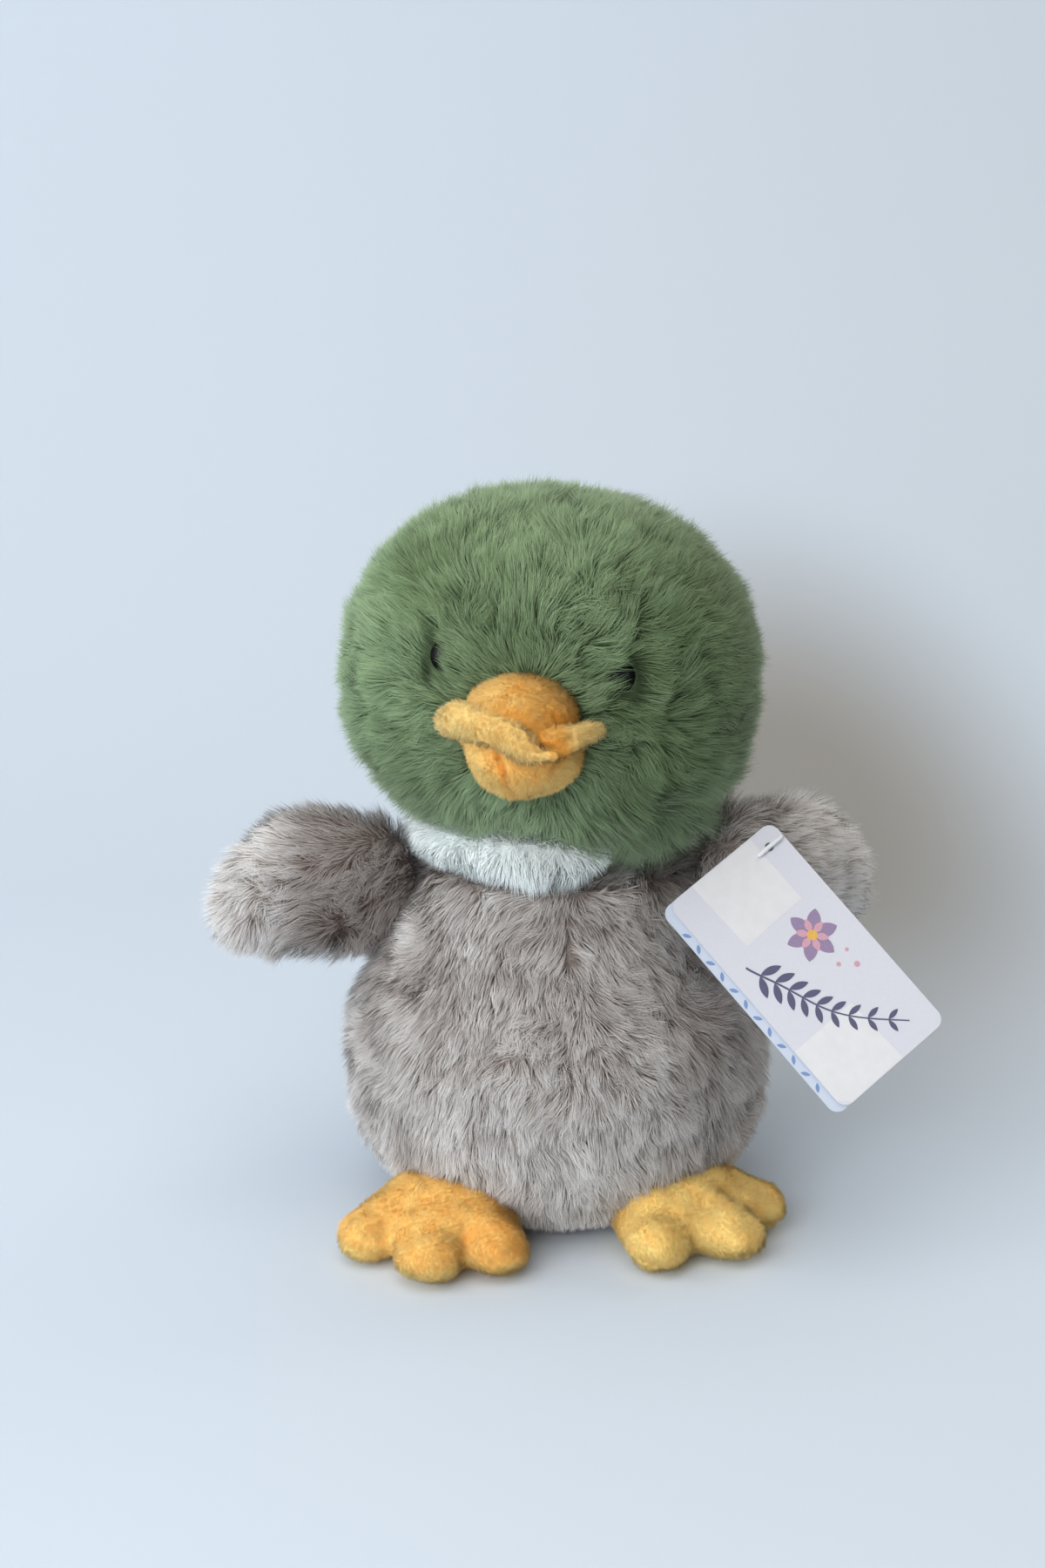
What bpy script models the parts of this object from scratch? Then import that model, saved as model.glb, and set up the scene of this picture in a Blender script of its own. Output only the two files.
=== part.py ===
"""A seated plush duck: sewn pile panels over stuffing, with soft wings and feet and a swing tag.

Metres, +Z up. The duck faces -Y and its own left is +X. The origin is on the ground under its seat.
Each panel is a shell as thick as its backing and pile; the stuffing is a core inside the shells.
"""
import math

import bmesh
import bpy
from mathutils import Matrix, Vector

# Sides of the duck, as its own left and right
SIDES = {"left": 1, "right": -1}

# Gaps and cloth thicknesses
GAP = 0.0003
OVERRUN = 0.020
LONG_PILE = 0.008
WING_PILE = 0.006
SHORT_PILE = 0.002
BACKING = 0.0012
CORE_SLACK = 0.0014
BODY_CORE_SLACK = 0.0022
WELD_DISTANCE = 0.00001
FLOOR_CUT = 0.0005

# Body, pear-shaped and flattened by its own weight where it sits
BODY_WIDTH = 0.119
BODY_DEPTH = 0.106
BODY_WIDEST_HEIGHT = 0.042
BODY_BELLY_DROP = 0.046
BODY_PEAR_LENGTH = 0.070
SHOULDER_HEIGHT = 0.100
BODY_NECK_SHARE = 0.60
BODY_ROUNDNESS_SHARE = 2.8
FRONT_SEAM_OFFSET = 0.002
SIDE_SEAM_OFFSET = 0.004
BASE_THICKNESS = 0.005
POUCH_THICKNESS = 0.015

# Neck and collar, a turned ring about the axis on which the head turns
NECK_OFFSET_X = -0.0055
NECK_OFFSET_Y = -0.004
NECK_OPENING_RADIUS = 0.018
COLLAR_HEIGHT = 0.0093
COLLAR_RADIUS = 0.0375
COLLAR_PILE = 0.0085
COLLAR_FLATTENING_SHARE = 0.75

# Head, a wide flattened ball with full cheeks
HEAD_WIDTH = 0.112
HEAD_DEPTH = 0.104
HEAD_HEIGHT = 0.096
HEAD_SINK = 0.0065
HEAD_ROUNDNESS_SHARE = 2.25
CHEEK_SHARE = 0.06
HEAD_TILT = math.radians(5.0)
HEAD_YAW = math.radians(-8.5)
GUSSET_WIDTH = 0.044
CHIN_LINE_DROP = 0.004

# Safety eyes, held through the backing by a washer
EYE_AZIMUTH = math.radians(26.5)
EYE_ELEVATION = math.radians(10.5)
EYE_DIAMETER = 0.009
EYE_DOME_HEIGHT = 0.0042
EYE_STEM_DIAMETER = 0.003
EYE_STEM_LENGTH = 0.007
WASHER_DIAMETER = 0.011
WASHER_THICKNESS = 0.0015
WASHER_SLACK = 0.0020

# Bill, a flared upper part over a smaller lower one
BILL_WIDTH = 0.038
BILL_LENGTH = 0.040
BILL_HEIGHT = 0.017
BILL_FORWARD = 0.051
BILL_RISE = -0.0010
BILL_LIP_DROP = 0.005
BILL_FLARE_SHARE = 0.16
LOWER_BILL_WIDTH = 0.030
LOWER_BILL_LENGTH = 0.030
LOWER_BILL_HEIGHT = 0.024
LOWER_BILL_FORWARD = 0.0475
LOWER_BILL_DROP = 0.0130
LOWER_BILL_TAPER_SHARE = 0.28

# Wings, each on a fore-and-aft axis at its sewn root
WING_AXIS_INSET = 0.0125
WING_AXIS_DROP = 0.015
WING_AXIS_OUT = BODY_WIDTH / 2 - WING_AXIS_INSET
WING_AXIS_HEIGHT = SHOULDER_HEIGHT - WING_AXIS_DROP
WING_AXIS_Y = -0.004
WING_ROOT_RADIUS = 0.0105
WING_LENGTH = 0.062
WING_HEIGHT = 0.0435
WING_THICKNESS = 0.027
WING_CENTRE_OUT = 0.0175
WING_CENTRE_RISE = 0.0045
WING_TIP_DROP = 0.010
WING_BEND_LENGTH = 0.030
WING_SWEEPS = {"left": math.radians(34.0), "right": math.radians(4.0)}
WING_ROUNDNESS_SHARE = 2.2
WING_CLEAR_ABOVE = math.radians(86.0)
WING_CLEAR_BELOW = math.radians(50.0)

# Feet, each on a crosswise axis at its sewn root
FOOT_ROOTS = {"left": (0.0265, -0.0275), "right": (-0.0290, -0.0325)}
FOOT_SPLAYS = {"left": math.radians(42.0), "right": math.radians(-12.0)}
FOOT_AXIS_HEIGHT = 0.0005
FOOT_AXIS_SETBACK = 0.012
FOOT_LENGTH = 0.0360
SIDE_TOE_LENGTH = 0.0350
FOOT_WEB_RADIUS = 0.0235
FOOT_HEEL_RADIUS = 0.014
TOE_SPREAD = math.radians(46.0)
TOE_WIDTH_ANGLE = math.radians(17.5)
TOE_BLUNTNESS_SHARE = 3.0
FOOT_ROOT_HEIGHT = 0.020
FOOT_TOE_HEIGHT = 0.0115
FOOT_SEAM_HEIGHT = 0.0040
FOOT_PUFF_SHARE = 0.80

# Tail, two panels behind
TAIL_WIDTH = 0.034
TAIL_LENGTH = 0.040
TAIL_THICKNESS = 0.015
TAIL_HEIGHT = 0.040
TAIL_PITCH = math.radians(28.0)
TAIL_TAPER_SHARE = 0.42

# Swing tag, a folded card on a plastic fastener through the left wing
TAG_LENGTH = 0.068
TAG_WIDTH = 0.036
TAG_CORNER_RADIUS = 0.003
CARD_THICKNESS = 0.0004
TAG_LEAF_GAP = 0.0005
TAG_FOLD_WIDTH = 0.0010
TAG_FOLD_CORNER_RADIUS = 0.00025
TAG_FOLD_INSET = 0.00005
TAG_BACK_OVERHANG = 0.0025
TAG_HOLE_DIAMETER = 0.0024
TAG_HOLE_INSET = 0.005
TAG_HOLE_PLACE = (0.0547, -0.0243, 0.1059)
TAG_LEAN = math.radians(32.0)
TAG_YAW = math.radians(6.0)
TAG_ROLL = math.radians(53.0)
FASTENER_BAR_LENGTH = 0.009
FASTENER_BAR_DIAMETER = 0.0012
FILAMENT_DIAMETER = 0.0009
FILAMENT_LENGTH = 0.0215

# Care label, a blank loop of ribbon in the seam behind the base
LABEL_WIDTH = 0.018
LABEL_LENGTH = 0.022
LABEL_THICKNESS = 0.0006
LABEL_CORNER_RADIUS = 0.0008
LABEL_OFFSET_X = -0.020
LABEL_SLOPE = math.radians(9.0)

# Facet counts
HEAD_FACETS = (26, 14)
BODY_FACETS = (28, 16)
CORE_FACETS = (18, 10)
WING_FACETS = (20, 10)
FOOT_FACETS = (44, 7)
FOOT_CORE_FACETS = (44, 6)
UPPER_BILL_FACETS = (22, 10)
LOWER_BILL_FACETS = (20, 10)
SMALL_FACETS = (16, 8)
ROUND_SIDES = 16
POCKET_SIDES = 20
SOCKET_SIDES = 32
THIN_SIDES = 8
COLLAR_RING_SIDES = 10
CARD_CORNER_STEPS = 4
SMALL_CORNER_STEPS = 2
SHARP_ANGLE = math.radians(50.0)
UNIT_SHARE = 1.0

# Values worked out from the sizes above
NECK_HEIGHT = SHOULDER_HEIGHT + GAP + COLLAR_HEIGHT + GAP
HEAD_CENTRE_RISE = HEAD_HEIGHT / 2 - HEAD_SINK
HALF_TURN = math.pi
QUARTER_TURN = math.pi / 2

PALETTE = {
    "green_pile": ((0.13, 0.22, 0.10), 0.95, 0.0),
    "grey_pile": ((0.35, 0.31, 0.29), 0.95, 0.0),
    "white_pile": ((0.80, 0.82, 0.80), 0.95, 0.0),
    "orange_minky": ((0.72, 0.38, 0.10), 0.90, 0.0),
    "polyester_fill": ((0.85, 0.85, 0.84), 1.0, 0.0),
    "pouch_cloth": ((0.70, 0.69, 0.65), 0.9, 0.0),
    "black_plastic": ((0.01, 0.01, 0.01), 0.12, 0.0),
    "washer_plastic": ((0.75, 0.75, 0.73), 0.45, 0.0),
    "white_card": ((0.82, 0.83, 0.86), 0.45, 0.0),
    "clear_nylon": ((0.80, 0.82, 0.84), 0.25, 0.0),
    "satin_ribbon": ((0.84, 0.84, 0.83), 0.40, 0.0),
}


def clear_scene():
    """Remove whatever objects the file opened with."""
    for thing in list(bpy.data.objects):
        bpy.data.objects.remove(thing, do_unlink=True)


def make_collection(name):
    """Return a new collection linked to the scene."""
    collection = bpy.data.collections.new(name)
    bpy.context.scene.collection.children.link(collection)
    return collection


clear_scene()
PARTS = make_collection("plush_duck")
CUTTERS = make_collection("cutters")


def material(name):
    """Return the Principled material of a named finish."""
    found = bpy.data.materials.get(name)
    if found:
        return found
    colour, roughness, metallic = PALETTE[name]
    made = bpy.data.materials.new(name)
    made.use_nodes = True
    shader = made.node_tree.nodes["Principled BSDF"]
    shader.inputs["Base Color"].default_value = (*colour, 1.0)
    shader.inputs["Roughness"].default_value = roughness
    shader.inputs["Metallic"].default_value = metallic
    return made


def empty(name, location, rotation=(0, 0, 0), parent=None):
    """Return an empty that carries pieces on an axis."""
    frame = bpy.data.objects.new(name, None)
    frame.empty_display_size = OVERRUN
    frame.location = location
    frame.rotation_euler = rotation
    frame.parent = parent
    PARTS.objects.link(frame)
    return frame


def add(name, mesh, collection, parent=None, finish=None):
    """Return an object for a mesh, in a collection and under a parent."""
    thing = bpy.data.objects.new(name, mesh)
    collection.objects.link(thing)
    thing.parent = parent
    if collection is CUTTERS:
        thing.hide_render = True
        thing.display_type = "WIRE"
    if finish:
        thing.data.materials.clear()
        thing.data.materials.append(material(finish))
        thing.data.shade_smooth()
        thing.data.set_sharp_from_angle(angle=SHARP_ANGLE)
    return thing


def ball(name, place, facets, parent=None, poles="Z", grow=0.0):
    """Return a cutter: a UV sphere moved point by point onto a form, then offset by grow."""
    shape = bmesh.new()
    bmesh.ops.create_uvsphere(shape, u_segments=facets[0], v_segments=facets[1], radius=UNIT_SHARE)
    if poles == "X":
        bmesh.ops.rotate(shape, verts=shape.verts, matrix=Matrix.Rotation(QUARTER_TURN, 3, "Y"))
    for vertex in shape.verts:
        vertex.co = place(vertex.co)
    bmesh.ops.recalc_face_normals(shape, faces=shape.faces)
    shape.normal_update()
    moves = [vertex.normal * grow for vertex in shape.verts]
    for vertex, move in zip(shape.verts, moves):
        vertex.co += move
    mesh = bpy.data.meshes.new(name)
    shape.to_mesh(mesh)
    shape.free()
    return add(name, mesh, CUTTERS, parent)


def block(name, low, high, parent=None):
    """Return a cutter box between two corners."""
    shape = bmesh.new()
    bmesh.ops.create_cube(shape, size=UNIT_SHARE)
    size = [top - bottom for bottom, top in zip(low, high)]
    middle = [(top + bottom) / 2 for bottom, top in zip(low, high)]
    bmesh.ops.scale(shape, verts=shape.verts, vec=size)
    bmesh.ops.translate(shape, verts=shape.verts, vec=middle)
    mesh = bpy.data.meshes.new(name)
    shape.to_mesh(mesh)
    shape.free()
    return add(name, mesh, CUTTERS, parent)


def rod(name, radius, start, end, sides=ROUND_SIDES, parent=None):
    """Return a cutter cylinder between two points."""
    start = Vector(start)
    end = Vector(end)
    shape = bmesh.new()
    bmesh.ops.create_cone(
        shape, cap_ends=True, segments=sides, radius1=radius, radius2=radius, depth=(end - start).length
    )
    turn = (end - start).to_track_quat("Z", "Y").to_matrix().to_4x4()
    shape.transform(Matrix.Translation((start + end) / 2) @ turn)
    mesh = bpy.data.meshes.new(name)
    shape.to_mesh(mesh)
    shape.free()
    return add(name, mesh, CUTTERS, parent)


def plate(name, outline, thickness, rotation=(0, 0, 0), location=(0, 0, 0), parent=None):
    """Return a cutter: a flat outline drawn in the XY plane, thickened both ways and then turned."""
    curve = bpy.data.curves.new(name, "CURVE")
    curve.dimensions = "2D"
    curve.fill_mode = "BOTH"
    curve.extrude = thickness / 2
    spline = curve.splines.new("POLY")
    spline.points.add(len(outline) - 1)
    for point, place in zip(spline.points, outline):
        point.co = (place[0], place[1], 0, 1)
    spline.use_cyclic_u = True
    drawn = bpy.data.objects.new(name, curve)
    CUTTERS.objects.link(drawn)
    bpy.context.view_layer.update()
    mesh = bpy.data.meshes.new_from_object(drawn.evaluated_get(bpy.context.evaluated_depsgraph_get()))
    bpy.data.objects.remove(drawn, do_unlink=True)
    shape = bmesh.new()
    shape.from_mesh(mesh)
    bmesh.ops.remove_doubles(shape, verts=shape.verts, dist=WELD_DISTANCE)
    bmesh.ops.recalc_face_normals(shape, faces=shape.faces)
    shape.to_mesh(mesh)
    shape.free()
    thing = add(name, mesh, CUTTERS, parent)
    thing.location = location
    thing.rotation_euler = rotation
    return thing


def piece(name, form, finish, cuts=(), keeps=(), joins=()):
    """Return a sub-part: a copy of a form, kept inside keeps, with cuts taken out and joins added."""
    thing = add(name, form.data.copy(), PARTS, form.parent, finish)
    thing.location = form.location
    thing.rotation_euler = form.rotation_euler
    for operation, tools in (("UNION", joins), ("INTERSECT", keeps), ("DIFFERENCE", cuts)):
        for tool in tools:
            modifier = thing.modifiers.new(f"{operation.lower()}_{tool.name}", "BOOLEAN")
            modifier.operation = operation
            modifier.object = tool
            modifier.solver = "EXACT"
    return thing


def super_share(value, power):
    """Return the radius share at a height share on a super-ellipse."""
    return max(0.0, 1.0 - abs(value) ** power) ** (1.0 / power)


def body_radius_share(height):
    """Return how wide the body is at a height, as a share of its widest."""
    if height <= BODY_WIDEST_HEIGHT:
        return super_share((BODY_WIDEST_HEIGHT - height) / BODY_BELLY_DROP, BODY_ROUNDNESS_SHARE)
    along = (height - BODY_WIDEST_HEIGHT) / BODY_PEAR_LENGTH
    swell = (1.0 + math.cos(math.pi * min(1.0, along))) / 2
    return BODY_NECK_SHARE + (1.0 - BODY_NECK_SHARE) * swell


def body_placer(rings):
    """Return the map from a unit sphere to the pear-shaped body with a flat top."""
    top_latitude = QUARTER_TURN * (1.0 - 2.0 / rings)

    def place(unit):
        latitude = math.asin(max(-1.0, min(1.0, unit.z)))
        if latitude <= 0:
            height = BODY_WIDEST_HEIGHT + unit.z * BODY_BELLY_DROP
        else:
            climb = min(1.0, latitude / top_latitude)
            height = BODY_WIDEST_HEIGHT + climb * (SHOULDER_HEIGHT - BODY_WIDEST_HEIGHT)
        flat = math.hypot(unit.x, unit.y)
        if flat < math.sin(QUARTER_TURN / rings):
            return Vector((0, 0, height))
        share = body_radius_share(height)
        return Vector((
            unit.x / flat * share * BODY_WIDTH / 2,
            unit.y / flat * share * BODY_DEPTH / 2,
            height,
        ))

    return place


def head_surface(unit):
    """Return the point of the head's outer surface in a direction from the neck axis point."""
    power = HEAD_ROUNDNESS_SHARE
    reach = (abs(unit.x) ** power + abs(unit.y) ** power + abs(unit.z) ** power) ** (-1.0 / power)
    spread = 1.0 - CHEEK_SHARE * unit.z
    return Vector((
        unit.x * reach * spread * HEAD_WIDTH / 2,
        unit.y * reach * HEAD_DEPTH / 2,
        unit.z * reach * HEAD_HEIGHT / 2 + HEAD_CENTRE_RISE,
    ))


def upper_bill_surface(unit):
    """Return a point of the upper bill: a dome with a flared lip that drops towards the front."""
    front = max(0.0, -unit.y)
    return Vector((
        unit.x * (1.0 - BILL_FLARE_SHARE * unit.z) * BILL_WIDTH / 2,
        unit.y * BILL_LENGTH / 2 - BILL_FORWARD,
        unit.z * BILL_HEIGHT / 2 - front * front * BILL_LIP_DROP + BILL_RISE + HEAD_CENTRE_RISE,
    ))


def lower_bill_surface(unit):
    """Return a point of the lower bill, narrower towards its underside."""
    return Vector((
        unit.x * (1.0 + LOWER_BILL_TAPER_SHARE * unit.z) * LOWER_BILL_WIDTH / 2,
        unit.y * LOWER_BILL_LENGTH / 2 - LOWER_BILL_FORWARD,
        unit.z * LOWER_BILL_HEIGHT / 2 - LOWER_BILL_DROP + HEAD_CENTRE_RISE,
    ))


def wing_middle(side_name, out, offset=0.0):
    """Return a point (x, y) of a wing's middle at a distance out from its axis, moved back by offset."""
    side = SIDES[side_name]
    along = max(0.0, min(1.0, out / WING_BEND_LENGTH))
    angle = WING_SWEEPS[side_name] * along * along * (3.0 - 2.0 * along)
    return (
        side * (out * math.cos(angle) - offset * math.sin(angle)),
        out * math.sin(angle) + offset * math.cos(angle),
    )


def wing_placer(side_name):
    """Return the map from a unit sphere to a wing, swept back past its root, in its axis frame."""

    def place(unit):
        fullness = super_share(unit.x, WING_ROUNDNESS_SHARE)
        flat = math.hypot(unit.y, unit.z)
        out = WING_CENTRE_OUT + unit.x * WING_LENGTH / 2
        height = WING_CENTRE_RISE - max(0.0, unit.x) ** 2 * WING_TIP_DROP
        if flat < math.sin(QUARTER_TURN / WING_FACETS[1]):
            return Vector((*wing_middle(side_name, out), height))
        thickness = unit.y / flat * fullness * WING_THICKNESS / 2
        height += unit.z / flat * fullness * WING_HEIGHT / 2
        return Vector((*wing_middle(side_name, out, thickness), height))

    return place


def wing_half_outline(side_name, facing):
    """Return the plan outline in front of a wing's middle, or behind it where facing is +1."""
    far = 2 * WING_LENGTH
    steps = SOCKET_SIDES
    points = []
    for step in range(steps + 1):
        out = far * (2.0 * step / steps - 1.0)
        points.append(wing_middle(side_name, out, facing * GAP / 2))
    last = points[-1]
    points.append((last[0], last[1] + facing * far))
    points.append((points[0][0], last[1] + facing * far))
    return points


def foot_outline(angle):
    """Return how far the foot's outline lies from its root at an angle from straight ahead."""
    ahead = max(0.0, math.cos(angle))
    base = FOOT_HEEL_RADIUS + (FOOT_WEB_RADIUS - FOOT_HEEL_RADIUS) * math.sqrt(ahead)
    toes = ((0, FOOT_LENGTH), (TOE_SPREAD, SIDE_TOE_LENGTH), (-TOE_SPREAD, SIDE_TOE_LENGTH))
    for middle, length in toes:
        aside = abs((angle - middle) / TOE_WIDTH_ANGLE)
        base += (length - FOOT_WEB_RADIUS) * math.exp(-aside ** TOE_BLUNTNESS_SHARE)
    return base


def foot_surface(unit):
    """Return a point of the foot, in the frame of its axis: three toes, higher at the root."""
    flat = math.hypot(unit.x, unit.y)
    angle = math.atan2(unit.x, -unit.y)
    reach = flat ** FOOT_PUFF_SHARE * foot_outline(angle)
    ahead = max(0.0, min(1.0, reach * math.cos(angle) / FOOT_LENGTH))
    top = FOOT_ROOT_HEIGHT + (FOOT_TOE_HEIGHT - FOOT_ROOT_HEIGHT) * ahead
    lift = abs(unit.z) ** FOOT_PUFF_SHARE
    if unit.z >= 0:
        height = FOOT_SEAM_HEIGHT + lift * (top - FOOT_SEAM_HEIGHT)
    else:
        height = FOOT_SEAM_HEIGHT - lift * (FOOT_SEAM_HEIGHT + FLOOR_CUT)
    return Vector((
        reach * math.sin(angle),
        -reach * math.cos(angle) - FOOT_AXIS_SETBACK,
        height - FOOT_AXIS_HEIGHT,
    ))


def tail_surface(unit):
    """Return a point of the tail, in its own frame, narrower towards the tip behind."""
    taper = 1.0 - TAIL_TAPER_SHARE * unit.y
    return Vector((
        unit.x * taper * TAIL_WIDTH / 2,
        unit.y * TAIL_LENGTH / 2,
        unit.z * taper * TAIL_THICKNESS / 2,
    ))


def build_body():
    """Make the body's panels, its filling, its bean pouch and the collar; return the body's cutter."""
    outer = ball("form_body", body_placer(BODY_FACETS[1]), BODY_FACETS)
    inner = ball("form_body_lining", body_placer(BODY_FACETS[1]), BODY_FACETS, grow=-LONG_PILE)
    core = ball(
        "form_body_core", body_placer(CORE_FACETS[1]), CORE_FACETS, grow=-LONG_PILE - BODY_CORE_SLACK
    )
    clear = ball("form_body_clear", body_placer(BODY_FACETS[1]), BODY_FACETS, grow=GAP)
    wide = BODY_WIDTH
    tall = SHOULDER_HEIGHT + OVERRUN
    base_top = BASE_THICKNESS
    panel_low = base_top + GAP
    front = SIDE_SEAM_OFFSET - GAP / 2
    back = SIDE_SEAM_OFFSET + GAP / 2
    seam = FRONT_SEAM_OFFSET
    neck = (NECK_OFFSET_X, NECK_OFFSET_Y)
    opening = rod(
        "cut_body_neck", NECK_OPENING_RADIUS + GAP,
        (*neck, SHOULDER_HEIGHT - OVERRUN), (*neck, SHOULDER_HEIGHT + OVERRUN),
    )
    sockets = []
    for side_name, side in SIDES.items():
        reach = WING_THICKNESS / 2 + GAP
        centre = (side * WING_AXIS_OUT, WING_AXIS_Y, WING_AXIS_HEIGHT)
        sockets.append(rod(
            f"cut_wing_socket_{side_name}", WING_ROOT_RADIUS + GAP,
            (centre[0], centre[1] - reach, centre[2]), (centre[0], centre[1] + reach, centre[2]),
            sides=SOCKET_SIDES,
        ))
    keep_left = block("keep_front_left", (seam + GAP / 2, -wide, panel_low), (wide, front, tall))
    keep_right = block("keep_front_right", (-wide, -wide, panel_low), (seam - GAP / 2, front, tall))
    keep_back = block("keep_back", (-wide, back, panel_low), (wide, wide, tall))
    cuts = (inner, opening, *sockets)
    piece("body_front_left", outer, "grey_pile", cuts=(inner, opening, sockets[0]), keeps=(keep_left,))
    piece("body_front_right", outer, "grey_pile", cuts=(inner, opening, sockets[1]), keeps=(keep_right,))
    piece("body_back", outer, "grey_pile", cuts=cuts, keeps=(keep_back,))
    keep_base = block("keep_base", (-wide, -wide, 0), (wide, wide, base_top))
    piece("body_base", outer, "grey_pile", keeps=(keep_base,))
    pouch_top = panel_low + POUCH_THICKNESS
    keep_pouch = block("keep_pouch", (-wide, -wide, panel_low), (wide, wide, pouch_top))
    piece("pellet_pouch", core, "pouch_cloth", keeps=(keep_pouch,))
    keep_fill = block("keep_body_fill", (-wide, -wide, pouch_top + GAP), (wide, wide, NECK_HEIGHT - GAP))
    stub = rod(
        "join_body_neck", NECK_OPENING_RADIUS,
        (*neck, SHOULDER_HEIGHT - LONG_PILE - OVERRUN / 2), (*neck, NECK_HEIGHT + OVERRUN),
    )
    piece("body_stuffing", core, "polyester_fill", joins=(stub,), keeps=(keep_fill,))
    return clear


def build_collar():
    """Make the white collar, a turned ring of pile between the shoulders and the head."""
    low = SHOULDER_HEIGHT + GAP
    middle = low + COLLAR_HEIGHT / 2
    ring_radius = COLLAR_RADIUS - COLLAR_PILE
    bpy.ops.mesh.primitive_torus_add(
        major_segments=BODY_FACETS[0], minor_segments=COLLAR_RING_SIDES,
        major_radius=ring_radius, minor_radius=COLLAR_PILE, location=(0, 0, 0),
    )
    drawn = bpy.context.active_object
    mesh = drawn.data
    bpy.data.objects.remove(drawn, do_unlink=True)
    mesh.transform(Matrix.Diagonal((1, 1, COLLAR_FLATTENING_SHARE, 1)))
    ring = add("form_collar", mesh, CUTTERS)
    ring.location = (NECK_OFFSET_X, NECK_OFFSET_Y, middle)
    wide = BODY_WIDTH
    keep = block("keep_collar", (-wide, -wide, low), (wide, wide, low + COLLAR_HEIGHT))
    bore = rod(
        "cut_collar_bore", NECK_OPENING_RADIUS + GAP,
        (NECK_OFFSET_X, NECK_OFFSET_Y, low - OVERRUN), (NECK_OFFSET_X, NECK_OFFSET_Y, low + OVERRUN),
    )
    piece("collar", ring, "white_pile", cuts=(bore,), keeps=(keep,))


def gusset_outline(gap):
    """Return the gusset's side outline (y, z): over the crown and down the back, and none on the chin."""
    chin = HEAD_CENTRE_RISE - CHIN_LINE_DROP - gap
    far = HEAD_WIDTH
    return ((-far, chin), (-far, far + chin), (far, far + chin), (far, -far), (-gap, -far), (-gap, chin))


def eye_axis(side):
    """Return an eye's outward direction, its outer surface point and its skin's inner point."""
    direction = Vector((
        side * math.sin(EYE_AZIMUTH) * math.cos(EYE_ELEVATION),
        -math.cos(EYE_AZIMUTH) * math.cos(EYE_ELEVATION),
        math.sin(EYE_ELEVATION),
    ))
    outer = head_surface(direction)
    outward = (outer - Vector((0, 0, HEAD_CENTRE_RISE))).normalized()
    return outward, outer, outer - outward * LONG_PILE


def build_head():
    """Make the head's three panels, its filling, eyes and bill, on the neck's axis."""
    frame = empty(
        "head_axis", (NECK_OFFSET_X, NECK_OFFSET_Y, NECK_HEIGHT), rotation=(0, HEAD_TILT, HEAD_YAW)
    )
    outer = ball("form_head", head_surface, HEAD_FACETS, frame, poles="X")
    inner = ball("form_head_lining", head_surface, HEAD_FACETS, frame, poles="X", grow=-LONG_PILE)
    core = ball(
        "form_head_core", head_surface, CORE_FACETS, frame, poles="X", grow=-LONG_PILE - CORE_SLACK
    )
    clear = ball("form_head_clear", head_surface, HEAD_FACETS, frame, poles="X", grow=GAP)
    far = HEAD_WIDTH
    above = block("keep_above_neck", (-far, -far, NECK_HEIGHT), (far, far, NECK_HEIGHT + far))
    opening = rod(
        "cut_head_neck", NECK_OPENING_RADIUS + GAP,
        (NECK_OFFSET_X, NECK_OFFSET_Y, NECK_HEIGHT - OVERRUN),
        (NECK_OFFSET_X, NECK_OFFSET_Y, NECK_HEIGHT + LONG_PILE),
    )
    plug = rod(
        "join_head_neck", NECK_OPENING_RADIUS,
        (NECK_OFFSET_X, NECK_OFFSET_Y, NECK_HEIGHT - OVERRUN),
        (NECK_OFFSET_X, NECK_OFFSET_Y, NECK_HEIGHT + OVERRUN),
    )
    gusset = plate(
        "keep_gusset", gusset_outline(0), GUSSET_WIDTH, (QUARTER_TURN, 0, QUARTER_TURN), parent=frame
    )
    gusset_clear = plate(
        "cut_gusset", gusset_outline(GAP), GUSSET_WIDTH + 2 * GAP,
        (QUARTER_TURN, 0, QUARTER_TURN), parent=frame,
    )
    eye_cuts = {}
    washer_cuts = []
    for side_name, side in SIDES.items():
        eye_cuts[side_name] = build_eye(side_name, side, frame)
        washer_cuts += eye_cuts[side_name][1]
    for side_name, side in SIDES.items():
        inside = sorted((side * GAP / 2, side * far))
        half = block(f"keep_head_{side_name}", (inside[0], -far, -far), (inside[1], far, 2 * far), frame)
        piece(
            f"head_side_{side_name}", outer, "green_pile",
            keeps=(half, above), cuts=(inner, gusset_clear, opening, *eye_cuts[side_name][0]),
        )
    piece(
        "head_gusset", outer, "green_pile", keeps=(gusset, above),
        cuts=(inner, opening, *eye_cuts["left"][0], *eye_cuts["right"][0]),
    )
    piece("head_stuffing", core, "polyester_fill", joins=(plug,), keeps=(above,), cuts=washer_cuts)
    build_bill(frame, clear)


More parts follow.
